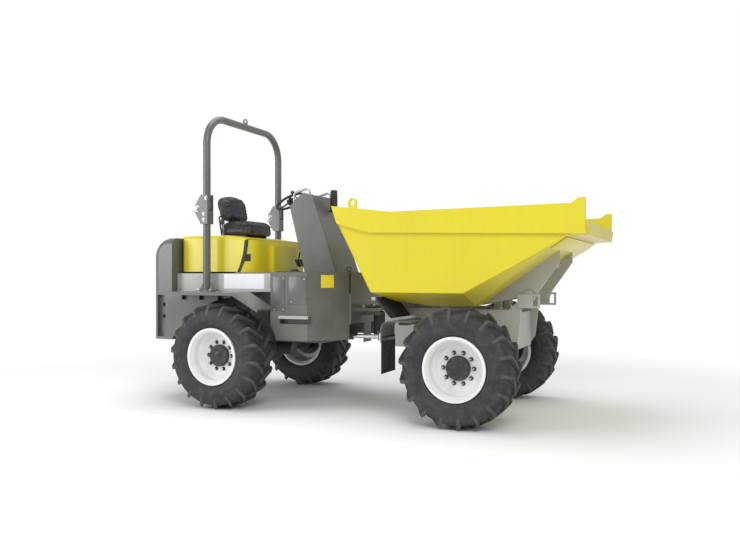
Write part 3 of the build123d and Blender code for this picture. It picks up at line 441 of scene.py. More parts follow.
def scattered(graph, entry, values):
    placed = graph.first("GeometryNodeInstanceOnPoints", values)
    real = graph.first("GeometryNodeRealizeInstances", {"Geometry": placed})
    covered = graph.first("GeometryNodeSetMaterial", {"Geometry": real, "Material": entry.out("Material")})
    graph.make("NodeGroupOutput", {}, {"Geometry": covered})
    return graph.tree


def grown(tree, mesh, slotName, values):
    carrier = linked("carrier", mesh)
    modifier = carrier.modifiers.new("grow", "NODES")
    modifier.node_group = tree
    values = {**values, "Material": materials[slotName]}
    for item in tree.interface.items_tree:
        if item.in_out == "INPUT" and item.name in values:
            modifier[item.identifier] = values[item.name]
    result = evaluated(carrier)
    bpy.data.objects.remove(carrier)
    return result


def pointMesh(spots):
    mesh = bpy.data.meshes.new("spots")
    mesh.from_pydata([spot for spot, facing in spots], [], [])
    facings = mesh.attributes.new("facing", "FLOAT_VECTOR", "POINT")
    for index, (spot, facing) in enumerate(spots):
        facings.data[index].vector = Vector(facing).normalized()
    return mesh


def makeFastenerTree(name, corners, domed):
    graph, entry = newTree(name, {"Radius": "Float", "Height": "Float", "Washer": "Float"})
    radius, height, washer = entry.out("Radius"), entry.out("Height"), entry.out("Washer")
    if domed:
        ball = graph.first("GeometryNodeMeshUVSphere", {"Segments": corners, "Rings": 6, "Radius": radius})
        flat = graph.first("ShaderNodeCombineXYZ", {"X": 1.0, "Y": 1.0, "Z": height / radius})
        head = graph.first("GeometryNodeTransform", {"Geometry": ball, "Scale": flat})
    else:
        shank = graph.first("GeometryNodeMeshCylinder", {
            "Vertices": corners, "Radius": radius, "Depth": height * 0.8})
        crown = graph.first("GeometryNodeMeshCone", {
            "Vertices": corners, "Radius Bottom": radius, "Radius Top": radius * 0.82, "Depth": height * 0.2})
        plate = graph.first("GeometryNodeMeshCylinder", {
            "Vertices": 16, "Radius": washer, "Depth": height * 0.24})
        join = graph.make("GeometryNodeJoinGeometry", {}, {})
        for part, share in ((shank, 0.4), (crown, 0.8), (plate, 0.0)):
            lift = graph.first("ShaderNodeCombineXYZ", {"Z": height * share})
            raised = graph.first("GeometryNodeTransform", {"Geometry": part, "Translation": lift})
            graph.tree.links.new(raised.socket, join.node.inputs[0])
        head = join.out(0)
    facing = graph.make(
        "GeometryNodeInputNamedAttribute", {"data_type": "FLOAT_VECTOR"}, {"Name": "facing"}).out(0)
    turned = graph.make("FunctionNodeAlignRotationToVector", {"axis": "Z"}, {"Vector": facing}).out(0)
    return scattered(graph, entry, {"Points": entry.out("Geometry"), "Instance": head, "Rotation": turned})


boltTree = makeFastenerTree("bolts", 6, False)
rivetTree = makeFastenerTree("rivets", 12, True)


def bolts(name, spots, body, slotName, radius, height, tree=boltTree, sharp=25):
    values = {"Radius": radius, "Height": height, "Washer": radius * 1.45}
    addPiece(name, grown(tree, pointMesh(spots), slotName, values), body, slotName, sharp)


def mirroredSpots(spots):
    return spots + [((x, -y, z), (a, -b, c)) for (x, y, z), (a, b, c) in spots]


def rivets(name, spots, body, radius, height):
    bolts(name, spots, body, "bright_steel", radius, height, rivetTree, 50)


def makeBeadTree():
    graph, entry = newTree("beads", {"Spacing": "Float", "Radius": "Float", "Wander": "Float", "Seed": "Int"})
    line = graph.first("GeometryNodeMeshToCurve", {"Mesh": entry.out("Geometry")})
    even = graph.make("GeometryNodeResampleCurve", {"mode": "LENGTH"}, {
        "Curve": line, "Length": entry.out("Spacing")}).out(0)
    ball = graph.first("GeometryNodeMeshIcoSphere", {"Radius": entry.out("Radius"), "Subdivisions": 1})
    wander = entry.out("Wander")
    size = graph.make("FunctionNodeRandomValue", {"data_type": "FLOAT"}, {
        2: 1.0 - wander, 3: 1.0 + wander, "Seed": entry.out("Seed")}).out(1)
    return scattered(graph, entry, {"Points": even, "Instance": ball, "Scale": size})


# One bead per spacing, its size wandering by a share.
beadLook = {"Radius": 0.0045, "Spacing": 0.0075, "Wander": 0.16, "Seed": 7}
beadTree = makeBeadTree()


def weld(name, lines, body, slotName):
    verts, edges = [], []
    for line in lines:
        edges += [(index, index + 1) for index in range(len(verts), len(verts) + len(line) - 1)]
        verts += line
    mesh = bpy.data.meshes.new("line")
    mesh.from_pydata(verts, edges, [])
    addPiece(name, grown(beadTree, mesh, slotName, beadLook), body, slotName, 80)


# Tyres: a lathed carcass with two staggered rings of slanting lugs, wrapped over the shoulders.
tyreLook = {
    "steps": 108, "lugPairs": 18, "topBreadth": 0.03, "footBreadth": 0.052,
    "slant": math.radians(38), "inner": -0.004, "shoulder": 0.152, "outer": 0.1985, "outerRadius": 0.452,
    "stations": 9, "bevel": 0.003, "lean": 0.52, "rootDepth": 0.012, "pastLine": 0.412, "crown": 0.098,
}
carcassLine = [
    (0.2545, 0.150), (0.268, 0.162), (0.286, 0.165), (0.298, 0.170), (0.306, 0.181), (0.318, 0.188),
    (0.345, 0.1965), (0.372, 0.2005), (0.378, 0.2022), (0.384, 0.2022), (0.390, 0.2008), (0.412, 0.2),
    (0.436, 0.197), (0.456, 0.1915), (0.474, 0.182), (0.488, 0.168), (0.498, 0.148), (0.5045, 0.11),
    (0.509, 0.06), (0.5105, 0.0),
]


def carcassRadius(offset):
    for (highRadius, lowOffset), (lowRadius, highOffset) in zip(carcassLine[::-1], carcassLine[-2::-1]):
        if lowOffset <= offset <= highOffset and highOffset > lowOffset:
            share = (offset - lowOffset) / (highOffset - lowOffset)
            return highRadius + (lowRadius - highRadius) * share
    return tyreLook["pastLine"]


def lugMesh(side):
    look = tyreLook
    bm = bmesh.new()
    low, high = look["footBreadth"] / 2, look["topBreadth"] / 2
    sections = []
    for station in range(look["stations"]):
        t = station / (look["stations"] - 1)
        offset = look["inner"] + (look["outer"] - look["inner"]) * t
        over = max(0.0, (offset - look["shoulder"]) / (look["outer"] - look["shoulder"]))
        top = wheelRadius - (wheelRadius - look["outerRadius"]) * over ** 1.7
        foot = min(carcassRadius(offset), top) - look["rootDepth"]
        spread = (look["crown"] - offset) * math.tan(look["slant"]) * (1 - 0.35 * over)
        sections.append([
            (foot, spread - low, offset), (top, spread - high, offset),
            (top, spread + high, offset), (foot, spread + low, offset),
        ])
    lines = []
    worn = bm.verts.layers.float.new("worn")
    for section in sections:
        lines.append([
            bm.verts.new((r * math.sin(arc / look["lean"]), side * offset, r * math.cos(arc / look["lean"])))
            for r, arc, offset in section
        ])
        # Marks the lug tops, which the tyre paints lighter as scuffing and as a painted highlight.
        for vert in lines[-1][1:3]:
            vert[worn] = 1.0
    skinned(bm, lines)
    bm.faces.new(lines[0])
    bm.faces.new(lines[-1])
    tops = {vert for line in lines for vert in line[1:3]}
    rims = [edge for edge in bm.edges if tops.issuperset(edge.verts) and edge.calc_face_angle(0) > 0.5]
    bmesh.ops.bevel(bm, geom=rims, offset=look["bevel"], segments=2, profile=0.6, affect="EDGES")
    return toMesh(bm)


def makeRingTree():
    graph, entry = newTree("ring", {"Count": "Int", "Start": "Float"})
    count = entry.out("Count")
    points = graph.first("GeometryNodePoints", {"Count": count})
    index = graph.first("GeometryNodeInputIndex", {})
    turn = (index + entry.out("Start")) / count * (2 * math.pi)
    rotation = graph.first("ShaderNodeCombineXYZ", {"Y": turn})
    values = {"Points": points, "Instance": entry.out("Geometry"), "Rotation": rotation}
    return scattered(graph, entry, values)


ringTree = makeRingTree()


def makeTyre():
    look = tyreLook
    inside = [(0.2545, 0.124), (0.3, 0.150), (0.38, 0.174), (0.45, 0.165), (0.484, 0.13), (0.488, 0.0)]
    outer = carcassLine + [(r, -h) for r, h in carcassLine[-2::-1]]
    inner = inside + [(r, -h) for r, h in inside[-2::-1]]
    profile = outer + inner[::-1]
    parts = []
    for shift, side in ((0.5, -1), (0.0, 1)):
        values = {"Count": look["lugPairs"], "Start": look["lugPairs"] / 2 + shift}
        parts.append(grown(ringTree, lugMesh(side), "tyre_rubber", values))
    parts.append(lathe(profile, look["steps"], Matrix.Rotation(math.pi / 2, 4, "X"), ring=True))
    rib = [(0.330, 0.1915), (0.333, 0.1952), (0.337, 0.1952), (0.340, 0.1925)]
    for side in sides.values():
        parts.append(lathe(rib, look["steps"], Matrix.Rotation(-side * math.pi / 2, 4, "X"), ring=True))
    return joined(parts)


wheelLook = {
    "nuts": 10, "nutCircle": 0.143, "nutFace": 0.027, "nutRadius": 0.0145, "nutHeight": 0.02,
    "studLength": 0.032, "studRadius": 0.008,
    "capBolts": 8, "capCircle": 0.088, "capFace": 0.066, "capRadius": 0.009, "capHeight": 0.007,
    "plug": [(0.0, 0.012), (0.016, 0.012), (0.02, 0.008), (0.022, -0.002), (0.0, -0.002)],
    "boss": [(0.0, 0.006), (0.04, 0.006), (0.046, 0.002), (0.046, -0.002), (0.0, -0.002)],
    "valve": [(0.1938, 0.05, 0.102), (0.2, 0.08, 0.11), (0.2, 0.11, 0.112)], "valveRadius": 0.006,
}


def circleSpots(centre, circle, count, side, start=0.0):
    x, y, z = centre
    turns = [2 * math.pi * (index + start) / count for index in range(count)]
    return [((x + circle * math.cos(turn), y, z + circle * math.sin(turn)), (0, side, 0)) for turn in turns]


def makeWheel(name, x, side):
    look = wheelLook
    body, y = f"wheel_{name}", side * halfTrack
    place = Matrix.Translation((x, y, wheelRadius)) @ Matrix.Scale(side, 4, (0, 1, 0))
    tyre = addPiece(f"tyre_{name}_look", copied(tyreShape, place), body, "tyre_rubber", 32)
    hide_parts(f"tyre_{name}")
    spots = circleSpots((x, y + side * look["nutFace"], wheelRadius), look["nutCircle"], look["nuts"], side)
    bolts(f"wheel_nuts_{name}", spots, body, "black_iron", look["nutRadius"], look["nutHeight"])
    studs = [
        tube([spot, Vector(spot) + Vector((0, side * look["studLength"], 0))], look["studRadius"], 10)
        for spot, facing in spots
    ]
    stem = [(x + dx, y + side * dy, wheelRadius + dz) for dx, dy, dz in look["valve"]]
    studs.append(tube(stem, look["valveRadius"], 8))
    cap = (x, y + side * look["capFace"], wheelRadius)
    capSpots = circleSpots(cap, look["capCircle"], look["capBolts"], side, 0.5)
    bolts(f"hub_bolts_{name}", capSpots, body, "black_iron", look["capRadius"], look["capHeight"])
    addPiece(f"wheel_studs_{name}", joined(studs), body, "bright_steel", 35)
    outwards = aimed(cap, (0, side, 0))
    plug = [lathe(look["plug"], 6, outwards), lathe(look["boss"], 32, outwards)]
    addPiece(f"hub_plug_{name}", joined(plug), body, "hub_black")
    print("wheel", name, "done")


tyreShape = makeTyre()
for axle, axleX in axles.items():
    for hand, side in sides.items():
        makeWheel(f"{axle}_{hand}", axleX, side)


def makeRowTree():
    graph, entry = newTree("row", {"Count": "Int", "Step": "Vector"})
    points = graph.first("GeometryNodePoints", {"Count": entry.out("Count")})
    index = graph.first("GeometryNodeInputIndex", {})
    values = {0: entry.out("Step"), "Scale": index}
    shift = graph.make("ShaderNodeVectorMath", {"operation": "SCALE"}, values).out(0)
    moved = graph.first("GeometryNodeSetPosition", {"Geometry": points, "Position": shift})
    return scattered(graph, entry, {"Points": moved, "Instance": entry.out("Geometry")})


rowTree = makeRowTree()


def row(mesh, count, step, slotName):
    return grown(rowTree, mesh, slotName, {"Count": count, "Step": step})


# Seat: both pads are inflated cloth, with a sewn channel pattern and piping.
padLook = {
    "voxel": 0.0075, "shrink": 0.96, "pressure": 4.0, "quality": 4, "frames": 20, "cap": 0.02,
    "grooveDepth": 0.006, "grooveWidth": 0.009, "pipe": 0.0045, "pipeInset": 0.012, "pipeCorner": 0.045,
    "pipeDrop": 0.034,
}
padTable = {
    "seat_cushion": {
        "axis": 2, "held": 0.03, "bulge": 0.10, "lean": math.radians(90), "panel": 0.150,
        "seams": (-0.10, 0.05),
    },
    "seat_back": {
        "axis": 0, "held": 0.02, "bulge": 0.34, "lean": math.radians(9), "panel": 0.135,
        "seams": (0.07, -0.06),
    },
}


def cornersOf(nodeName):
    return [Vector(corner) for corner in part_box(nodeName)]


def rounded(mesh, low, high, axis, amount):
    middle, half = (low + high) / 2, (high - low) / 2
    first, second = [index for index in range(3) if index != axis]
    for vert in mesh.vertices:
        u = (vert.co[first] - middle[first]) / half[first]
        v = (vert.co[second] - middle[second]) / half[second]
        vert.co[first] = middle[first] + u * math.sqrt(1 - amount * v * v) * half[first]
        vert.co[second] = middle[second] + v * math.sqrt(1 - amount * u * u) * half[second]


def inflated(nodeName, pad):
    look = padLook
    mesh = frame["nodes"][nodeName].data.copy()
    low, high = cornersOf(nodeName)
    middle = (low + high) / 2
    mesh.transform(Matrix.Translation(middle) @ Matrix.Scale(look["shrink"], 4) @ Matrix.Translation(-middle))
    bm = bmesh.new()
    bm.from_mesh(mesh)
    bmesh.ops.remove_doubles(bm, verts=bm.verts[:], dist=1e-5)
    bm.to_mesh(mesh)
    bm.free()
    thing = linked("pad", mesh)
    configure(thing.modifiers.new("remesh", "REMESH"), mode="VOXEL", voxel_size=look["voxel"])
    thing.data = evaluated(thing)
    thing.modifiers.clear()
    rounded(thing.data, low, high, pad["axis"], pad["bulge"])
    verts = thing.data.vertices
    group = thing.vertex_groups.new(name="held")
    level = low[pad["axis"]] + pad["held"]
    group.add([vert.index for vert in verts if vert.co[pad["axis"]] < level], 1.0, "REPLACE")
    cloth = thing.modifiers.new("cloth", "CLOTH")
    configure(cloth.settings, use_pressure=True, uniform_pressure_force=look["pressure"],
              vertex_group_mass="held", quality=look["quality"])
    cloth.settings.effector_weights.gravity = 0
    configure(cloth.point_cache, frame_start=1, frame_end=look["frames"])
    for step in range(1, look["frames"] + 1):
        bpy.context.scene.frame_set(step)
    settled = evaluated(thing)
    thing.modifiers.clear()
    for vert, after in zip(verts, settled.vertices):
        shift = after.co - vert.co
        vert.co += shift * min(1.0, look["cap"] / max(shift.length, 1e-9))
    bpy.context.scene.frame_set(1)
    thing.modifiers.new("smooth", "SUBSURF").levels = 1
    result = evaluated(thing)
    bpy.data.objects.remove(thing)
    return result


def sewn(mesh, middle, pad):
    look = padLook
    front = Vector((math.cos(pad["lean"]), 0, math.sin(pad["lean"])))
    along = Vector((-front.z, 0, front.x))
    places = [vert.co.copy() for vert in mesh.vertices]
    facings = [vert.normal.copy() for vert in mesh.vertices]
    for vert, place, facing in zip(mesh.vertices, places, facings):
        gaps = [abs(place.y) - pad["panel"]]
        if gaps[0] < 0:
            gaps += [(place - middle).dot(along) - seam for seam in pad["seams"]]
        dent = max(math.exp(-(gap / look["grooveWidth"]) ** 2) for gap in gaps)
        vert.co = place - front * max(facing.dot(front), 0) * look["grooveDepth"] * dent


def roundedLoop(low, high, radius, level, steps=6):
    low, high = low + Vector((radius, radius, 0)), high - Vector((radius, radius, 0))
    centres = [(high.x, high.y), (low.x, high.y), (low.x, low.y), (high.x, low.y)]
    points = []
    for quarter, (x, y) in enumerate(centres):
        for step in range(steps + 1):
            turn = math.pi / 2 * (quarter + step / steps)
            points.append((x + radius * math.cos(turn), y + radius * math.sin(turn), level))
    return points + points[:2]


for nodeName, pad in padTable.items():
    cover = inflated(nodeName, pad)
    sewn(cover, sum(cornersOf(nodeName), Vector()) / 2, pad)
    padPiece = addPiece(f"{nodeName}_cover", cover, "hood", "black_vinyl", 75)
    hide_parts(nodeName)
cushionLow, cushionHigh = cornersOf("seat_cushion")
pipeInset = Vector((padLook["pipeInset"], padLook["pipeInset"], 0))
pipeLoop = roundedLoop(
    cushionLow + pipeInset, cushionHigh - pipeInset, padLook["pipeCorner"],
    cushionHigh.z - padLook["pipeDrop"])
piping = tube(pipeLoop, padLook["pipe"], 8)
addPiece("seat_piping", piping, "hood", "black_plastic", 60)
ironLook = {"offset": 0.205, "half": 0.014, "low": 1.801, "high": 1.822, "stay": 0.009, "bend": 0.02}


def seatIrons():
    look = ironLook
    rails, stays = [], []
    for side in sides.values():
        middle = side * look["offset"]
        rails.append(roundedBox(
            (cushionLow.x + 0.03, middle - look["half"], look["low"]),
            (cushionHigh.x - 0.09, middle + look["half"], look["high"]), 0.003))
        corners = [
            (-1.79, middle, 1.812), (-1.79, side * 0.268, 1.826), (-1.83, side * 0.262, 2.03),
            (-1.84, side * 0.19, 2.05),
        ]
        stays.append(tube(filleted(corners, look["bend"]), look["stay"]))
    return joined(rails + stays)


addPiece("seat_irons", seatIrons(), "hood", "black_iron")
buckle = [roundedBox((-1.80, -0.278, 1.94), (-1.755, -0.258, 2.01), 0.006)]
buckle.append(tube([(-1.785, -0.266, 1.832), (-1.777, -0.268, 1.95)], 0.007, 10))
addPiece("belt_buckle", joined(buckle), "hood", "black_plastic")
print("seat done")


# Hood: the seal follows the curved seam, with a latch just ahead of it.
hoodLook = {
    "sealInner": 0.8365, "sealOuter": 0.868, "half": 0.6, "sealDepth": 0.0165, "stand": 0.0035, "steps": 18,
    "sealBottom": 1.398, "sealTop": 1.742, "stripHalf": 0.56,
}
hingeX, hingeZ = -2.085, 1.786


def arcPoint(radius, height):
    return (hingeX + math.sqrt(radius ** 2 - (height - hingeZ) ** 2), height)


def hoodSeal():
    look = hoodLook
    rise = look["sealTop"] - look["sealBottom"]
    heights = [look["sealBottom"] + rise * step / look["steps"] for step in range(look["steps"] + 1)]
    inner = [arcPoint(look["sealInner"], height) for height in heights]
    outer = [arcPoint(look["sealOuter"], height) for height in heights]
    band = slab(inner + outer[::-1], look["half"] - look["sealDepth"], look["half"] + look["stand"], 0.0015)
    topX = arcPoint(look["sealInner"], 1.745)[0]
    across = roundedBox((topX, -look["stripHalf"], 1.7435), (topX + 0.03, look["stripHalf"], 1.7495), 0.002)
    return joined([bothSides(band), across])


addPiece("hood_seal", hoodSeal(), chassis, "black_rubber", 30)
latchNormal = Vector((0.469, -0.883, 0))
latchPlace = aimed((-1.235, -0.5805, 1.555), latchNormal)
latch = [
    roundedBox((-0.038, -0.038, -0.012), (0.038, 0.038, 0.007), 0.006, 3, latchPlace),
    roundedBox((-0.026, -0.030, 0.004), (0.026, 0.014, 0.0125), 0.004, 3, latchPlace),
    roundedBox((-0.016, 0.010, 0.006), (0.016, 0.033, 0.017), 0.004, 3, latchPlace),
]
addPiece("hood_latches", bothSides(joined(latch)), chassis, "black_plastic", 30)
print("hood done")


# Console: gauges, switches, levers, pedals, floor mat and the lamp's rings.
dashNormal = Vector((-0.661, 0, 0.750))
dashDown = Vector((-0.750, 0, -0.661))
dashPlace = Matrix.Translation((-0.8155, 0, 2.191)) @ Matrix((
    (0, dashDown.x, dashNormal.x, 0), (1, 0, 0, 0), (0, dashDown.z, dashNormal.z, 0), (0, 0, 0, 1)))
dashLook = {
    "gauges": (-0.105, 0.0, 0.105), "gaugeRow": -0.025, "gaugeRadius": 0.036, "switches": 6,
    "switchStart": -0.105, "switchStep": 0.042, "lever": -0.215,
}


def onDash(across, down, out=0.0):
    return dashPlace @ Matrix.Translation((across, down, out))


def consoleTrim():
    look = dashLook
    radius = look["gaugeRadius"]
    bezel = [
        (0.0, 0.004), (radius * 0.82, 0.004), (radius * 0.86, 0.011), (radius, 0.010), (radius * 1.06, 0.0),
        (0.0, -0.002),
    ]
    parts = [lathe(bezel, 36, onDash(across, look["gaugeRow"])) for across in look["gauges"]]
    key = roundedBox((-0.011, 0.020, 0.0), (0.011, 0.052, 0.010), 0.003, 2, onDash(0, 0))
    along = dashPlace.to_3x3() @ Vector((1, 0, 0))
    keys = row(key, look["switches"], along * look["switchStep"], "black_plastic")
    parts.append(copied(keys, Matrix.Translation(along * look["switchStart"])))
    lever = onDash(look["lever"], 0.0)
    stalk = tube([lever.translation, onDash(look["lever"], 0.0, 0.09).translation], 0.006, 10)
    knob = [(0.0, 0.085), (0.012, 0.086), (0.02, 0.1), (0.021, 0.115), (0.014, 0.129), (0.0, 0.133)]
    boot = [(0.0, 0.03), (0.009, 0.03), (0.014, 0.018), (0.028, 0.004), (0.03, -0.002), (0.0, -0.002)]
    parts += [stalk, lathe(knob, 20, lever), lathe(boot, 20, lever)]
    gear = filleted([(-0.985, 0.0, 2.105), (-0.985, 0.075, 2.135), (-0.985, 0.135, 2.175)], 0.03)
    parts += [tube(gear, 0.005, 10), roundedBox((-0.994, 0.122, 2.160), (-0.976, 0.148, 2.188), 0.006)]
    return joined(parts)


addPiece("console_controls", consoleTrim(), chassis, "black_plastic", 32)
disc = [(0.0, 0.0055), (0.030, 0.0055), (0.030, 0.004), (0.0, 0.004)]
glass = [lathe(disc, 32, onDash(across, dashLook["gaugeRow"])) for across in dashLook["gauges"]]
addPiece("gauge_faces", joined(glass), chassis, "bright_steel", 40)


pedalLook = {
    "pads": ((-0.13, 0.035), (-0.02, 0.045), (0.12, 0.045)), "half": 0.045, "tilt": math.radians(-28),
    "ribs": 5, "ribStep": 0.0165, "ribInset": 0.006,
}


def pedals():
    look = pedalLook
    parts = []
    for across, width in look["pads"]:
        arm = filleted([(-0.755, across, 1.66), (-0.845, across, 1.63), (-0.865, across, 1.505)], 0.04)
        parts.append(tube(arm, 0.008, 10))
        tilt = Matrix.Translation((-0.868, across, 1.50)) @ Matrix.Rotation(look["tilt"], 4, "Y")
        half, reach = look["half"], width - look["ribInset"]
        parts.append(roundedBox((-0.008, -width, -half), (0.006, width, half), 0.004, 2, tilt))
        rib = roundedBox((-0.0115, -reach, -0.036), (-0.007, reach, -0.030), 0.0015, 1, tilt)
        parts.append(row(rib, look["ribs"], tilt.to_3x3() @ Vector((0, 0, look["ribStep"])), "black_rubber"))
    return joined(parts)


addPiece("pedals", pedals(), chassis, "black_rubber", 32)
matLook = {"ribs": 16, "ribStep": 0.0205}
mat = roundedBox((-1.075, -0.262, 1.3968), (-0.74, 0.262, 1.4008), 0.0015)
matRib = roundedBox((-1.066, -0.250, 1.400), (-1.058, 0.250, 1.4032), 0.0012, 1)
matRibs = row(matRib, matLook["ribs"], (matLook["ribStep"], 0, 0), "black_rubber")
addPiece("floor_mat", joined([mat, matRibs]), chassis, "black_rubber", 30)
lampLow, lampHigh = cornersOf("work_lamp")
lampLook = {"inset": 0.038, "start": 2.10, "rings": 9, "step": 0.0195}
lampPlace = Matrix.Translation((
    lampHigh.x - lampLook["inset"], (lampLow.y + lampHigh.y) / 2, lampLook["start"]))
ringSection = [(0.0375, 0.0), (0.0415, 0.001), (0.0425, 0.005), (0.0415, 0.009), (0.0375, 0.010)]
lampRings = row(
    lathe(ringSection, 32, lampPlace, ring=True), lampLook["rings"], (0, 0, lampLook["step"]), "black_rubber")
addPiece("lamp_rings", lampRings, chassis, "black_rubber", 35)
print("console done")


# Rear sides: covers, step treads, caps, rings, brackets, a blank plate and a white sheet that is a painted
# reflection.
def chamferPlace(side, along, height):
    start, end = Vector((-0.400, side * 0.760, 0)), Vector((-0.075, side * 0.400, 0))
    tangent = (end - start).normalized()
    outwards = Vector((0.742, side * 0.670, 0))
    spot = start + (end - start) * along
    return Matrix((
        (tangent.x, outwards.x, 0, spot.x), (tangent.y, outwards.y, 0, spot.y),
        (0, 0, 1, height), (0, 0, 0, 1)))


coverLook = {"x": (-0.612, -0.352), "z": (1.068, 1.352), "stand": 0.004}


def sideCovers():
    look = coverLook
    (backX, frontX), (bottom, top) = look["x"], look["z"]
    cover = roundedBox((backX, 0.758, bottom), (frontX - 0.052, 0.760 + look["stand"], top), 0.002)
    rear = roundedBox((-0.80, 0.758, 1.00), (-0.66, 0.7635, 1.352), 0.002)
    return bothSides(joined([cover, rear]))


addPiece("tank_covers", sideCovers(), chassis, "dark_grey_paint", 30)
coverSpots = [((x, 0.764, z), (0, 1, 0)) for x in (-0.585, -0.430) for z in (1.095, 1.325)]
coverSpots += [((x, 0.7635, z), (0, 1, 0)) for x in (-0.785, -0.675) for z in (1.015, 1.335)]
rivets("cover_rivets", mirroredSpots(coverSpots), chassis, 0.0085, 0.005)

treadLook = {"studs": 14, "start": -0.700, "step": 0.0235}
stepTread = roundedBox((-0.716, 0.700, 0.9495), (-0.374, 0.7895, 0.9535), 0.0012, 1)
stepNose = roundedBox((-0.716, 0.7885, 0.924), (-0.374, 0.7925, 0.9535), 0.0012, 1)
addPiece("step_treads", bothSides(joined([stepTread, stepNose])), chassis, "light_grey_paint", 30)
treadSpots = [
    ((treadLook["start"] + column * treadLook["step"], 0.775, 0.9535), (0, 0, 1))
    for column in range(treadLook["studs"])
]
rivets("step_studs", mirroredSpots(treadSpots), chassis, 0.0055, 0.003)

capLine = [
    (0.0, 0.034), (0.030, 0.034), (0.036, 0.029), (0.038, 0.012), (0.043, 0.008), (0.047, -0.002),
    (0.0, -0.002),
]
caps = [lathe(capLine, 12, Matrix.Translation((-0.60, side * 0.665, 1.397))) for side in sides.values()]
addPiece("filler_caps", joined(caps), chassis, "black_plastic", 25)

ringTurns = [math.pi / 5 * step for step in range(10)]
ringLine = [(0.022 + 0.005 * math.cos(turn), 0.005 * math.sin(turn)) for turn in ringTurns]
ringBoss = [(0.0, 0.009), (0.015, 0.009), (0.019, 0.003), (0.019, -0.002), (0.0, -0.002)]
rings = []
for side in sides.values():
    rings.append(lathe(ringLine, 28, aimed((-0.115, side * 0.385, 1.428), (0.45, side, 0)), ring=True))
    rings.append(lathe(ringBoss, 20, Matrix.Translation((-0.115, side * 0.385, 1.397))))
addPiece("deck_rings", joined(rings), chassis, "black_iron", 45)

fenderStations = (-1.93, -1.70, -1.46, -1.22)
bracket = slab([(-0.035, 1.176), (0.035, 1.176), (0.035, 1.160), (-0.035, 1.160)], 0.748, 0.905, 0.002)
stayFoot = slab([(-0.006, 1.176), (0.006, 1.176), (0.006, 1.10), (-0.006, 1.10)], 0.748, 0.79, 0.001)
brackets = [
    copied(shape, Matrix.Translation((x, 0, 0))) for shape in (bracket, stayFoot) for x in fenderStations
]
addPiece("fender_brackets", bothSides(joined(brackets)), chassis, "black_iron")


def plainPlate(name, colour):
    graph, coords = newMaterial(name)
    patch = graph.noise(coords, 15.0, 5.0, 0.4)
    fibre = graph.noise(coords, 300.0, 2.0)
    dirt = patch.between(0.5, 0.8) * 0.35
    tone = graph.blend(dirt, opaque(colour), opaque([c * 0.7 for c in colour]))
    values = {"Base Color": tone, "Roughness": (0.34 + dirt * 0.6).held(), "Coat Weight": 0.2}
    return closed(graph, values, fibre + patch * 0.5, 0.0004, 0.4)


# The white side plate is a painted reflection: a white sheet where the bay wall reflects the studio.
sideReflectionPlate = roundedBox((-1.478, -0.6562, 1.222), (-0.972, -0.6545, 1.378), 0.0006, 1)
cornerPlate = roundedBox(
    (-0.07, -0.001, -0.062), (0.07, 0.0015, 0.068), 0.0006, 1, chamferPlace(-1, 0.45, 1.300))
plateTable = [
    ("side_reflection_plate", sideReflectionPlate, "white_rim_paint", plainPlate("whiteReflectionPlate", (0.84, 0.84, 0.88))),
    ("corner_plate", cornerPlate, "yellow_paint", plainPlate("yellowPlate", (0.78, 0.62, 0.03))),
]
for name, mesh, slotName, material in plateTable:
    addPiece(name, mesh, chassis, slotName, 30).data.materials[0] = material
print("rear sides done")


# Bolts, one row by place: name, body, head radius, head height and the left side's spots.
ropsX, ropsY = -1.651, 0.725
boltTable = [
    ("foot_bolts", chassis, 0.015, 0.014,
     [((ropsX + dx, ropsY + dy, 1.205), (0, 0, 1)) for dx in (-0.076, 0.076) for dy in (-0.038, 0.038)]),
    ("hinge_nuts", chassis, 0.024, 0.018,
     [((-1.740, 0.779, 2.080), (0, 1, 0)), ((-1.740, 0.671, 2.080), (0, -1, 0))]),
    ("cheek_bolts", chassis, 0.014, 0.012,
     [((x, 0.779, z), (0, 1, 0)) for x, z in ((-1.651, 1.962), (-1.622, 2.190), (-1.651, 2.024))]),
    ("bay_bolts", chassis, 0.0075, 0.006,
     [((x, 0.655, z), (0, 1, 0)) for x in (-2.06, -1.83, -1.56, -0.90) for z in (1.212, 1.362)]),
    ("fender_bolts", chassis, 0.009, 0.008,
     [((x, 0.80, 1.190), (0, 0, 1)) for x in fenderStations]),
    ("rear_saddle_bolts", chassis, 0.015, 0.013,
     [((x, 0.420, z), (0, 1, 0)) for x in (-1.387, -1.267) for z in (0.675, 0.725)]),
    ("front_saddle_bolts", "front_chassis", 0.015, 0.013,
     [((x, 0.400, z), (0, 1, 0)) for x in (1.187, 1.307) for z in (0.675, 0.725)]),
    ("pivot_bolts", "front_chassis", 0.012, 0.011,
     [((1.760, 0.400, 1.204), (0, 1, 0))]),
    ("guard_bolts", "front_chassis", 0.009, 0.008,
     [((0.640, y, 0.950), (0, 0, 1)) for y in (0.785, 0.90, 1.02)]),
    ("flap_bolts", "front_chassis", 0.009, 0.008,
     [((0.545, y, 0.778), (-1, 0, 0)) for y in (0.80, 0.92, 1.04)]),
    ("deflector_bolts", "front_chassis", 0.010, 0.009,
     [((0.425, y, 1.148), (0.05, 0, 1)) for y in (0.50, 0.66, 0.82)]),
    ("skip_pivot_caps", "skip", 0.014, 0.012, [((2.00, 0.3402, 1.53), (0, -1, 0))]),
]
for name, body, radius, height, spots in boltTable:
    bolts(name, mirroredSpots(spots), body, "bright_steel", radius, height)
pinSpots = [((0.08 + 0.02 * math.cos(turn), 0.02 * math.sin(turn), 0.982), (0, 0, 1))
            for turn in (math.pi / 2, math.pi * 7 / 6, math.pi * 11 / 6)]
bolts("steer_pin_bolts", pinSpots, "knuckle", "bright_steel", 0.007, 0.006)
nipples = [((0.08, side * 0.062, 0.970), (0, 0, 1)) for side in sides.values()]
rivets("grease_points", nipples, chassis, 0.006, 0.012)
print("bolts done")


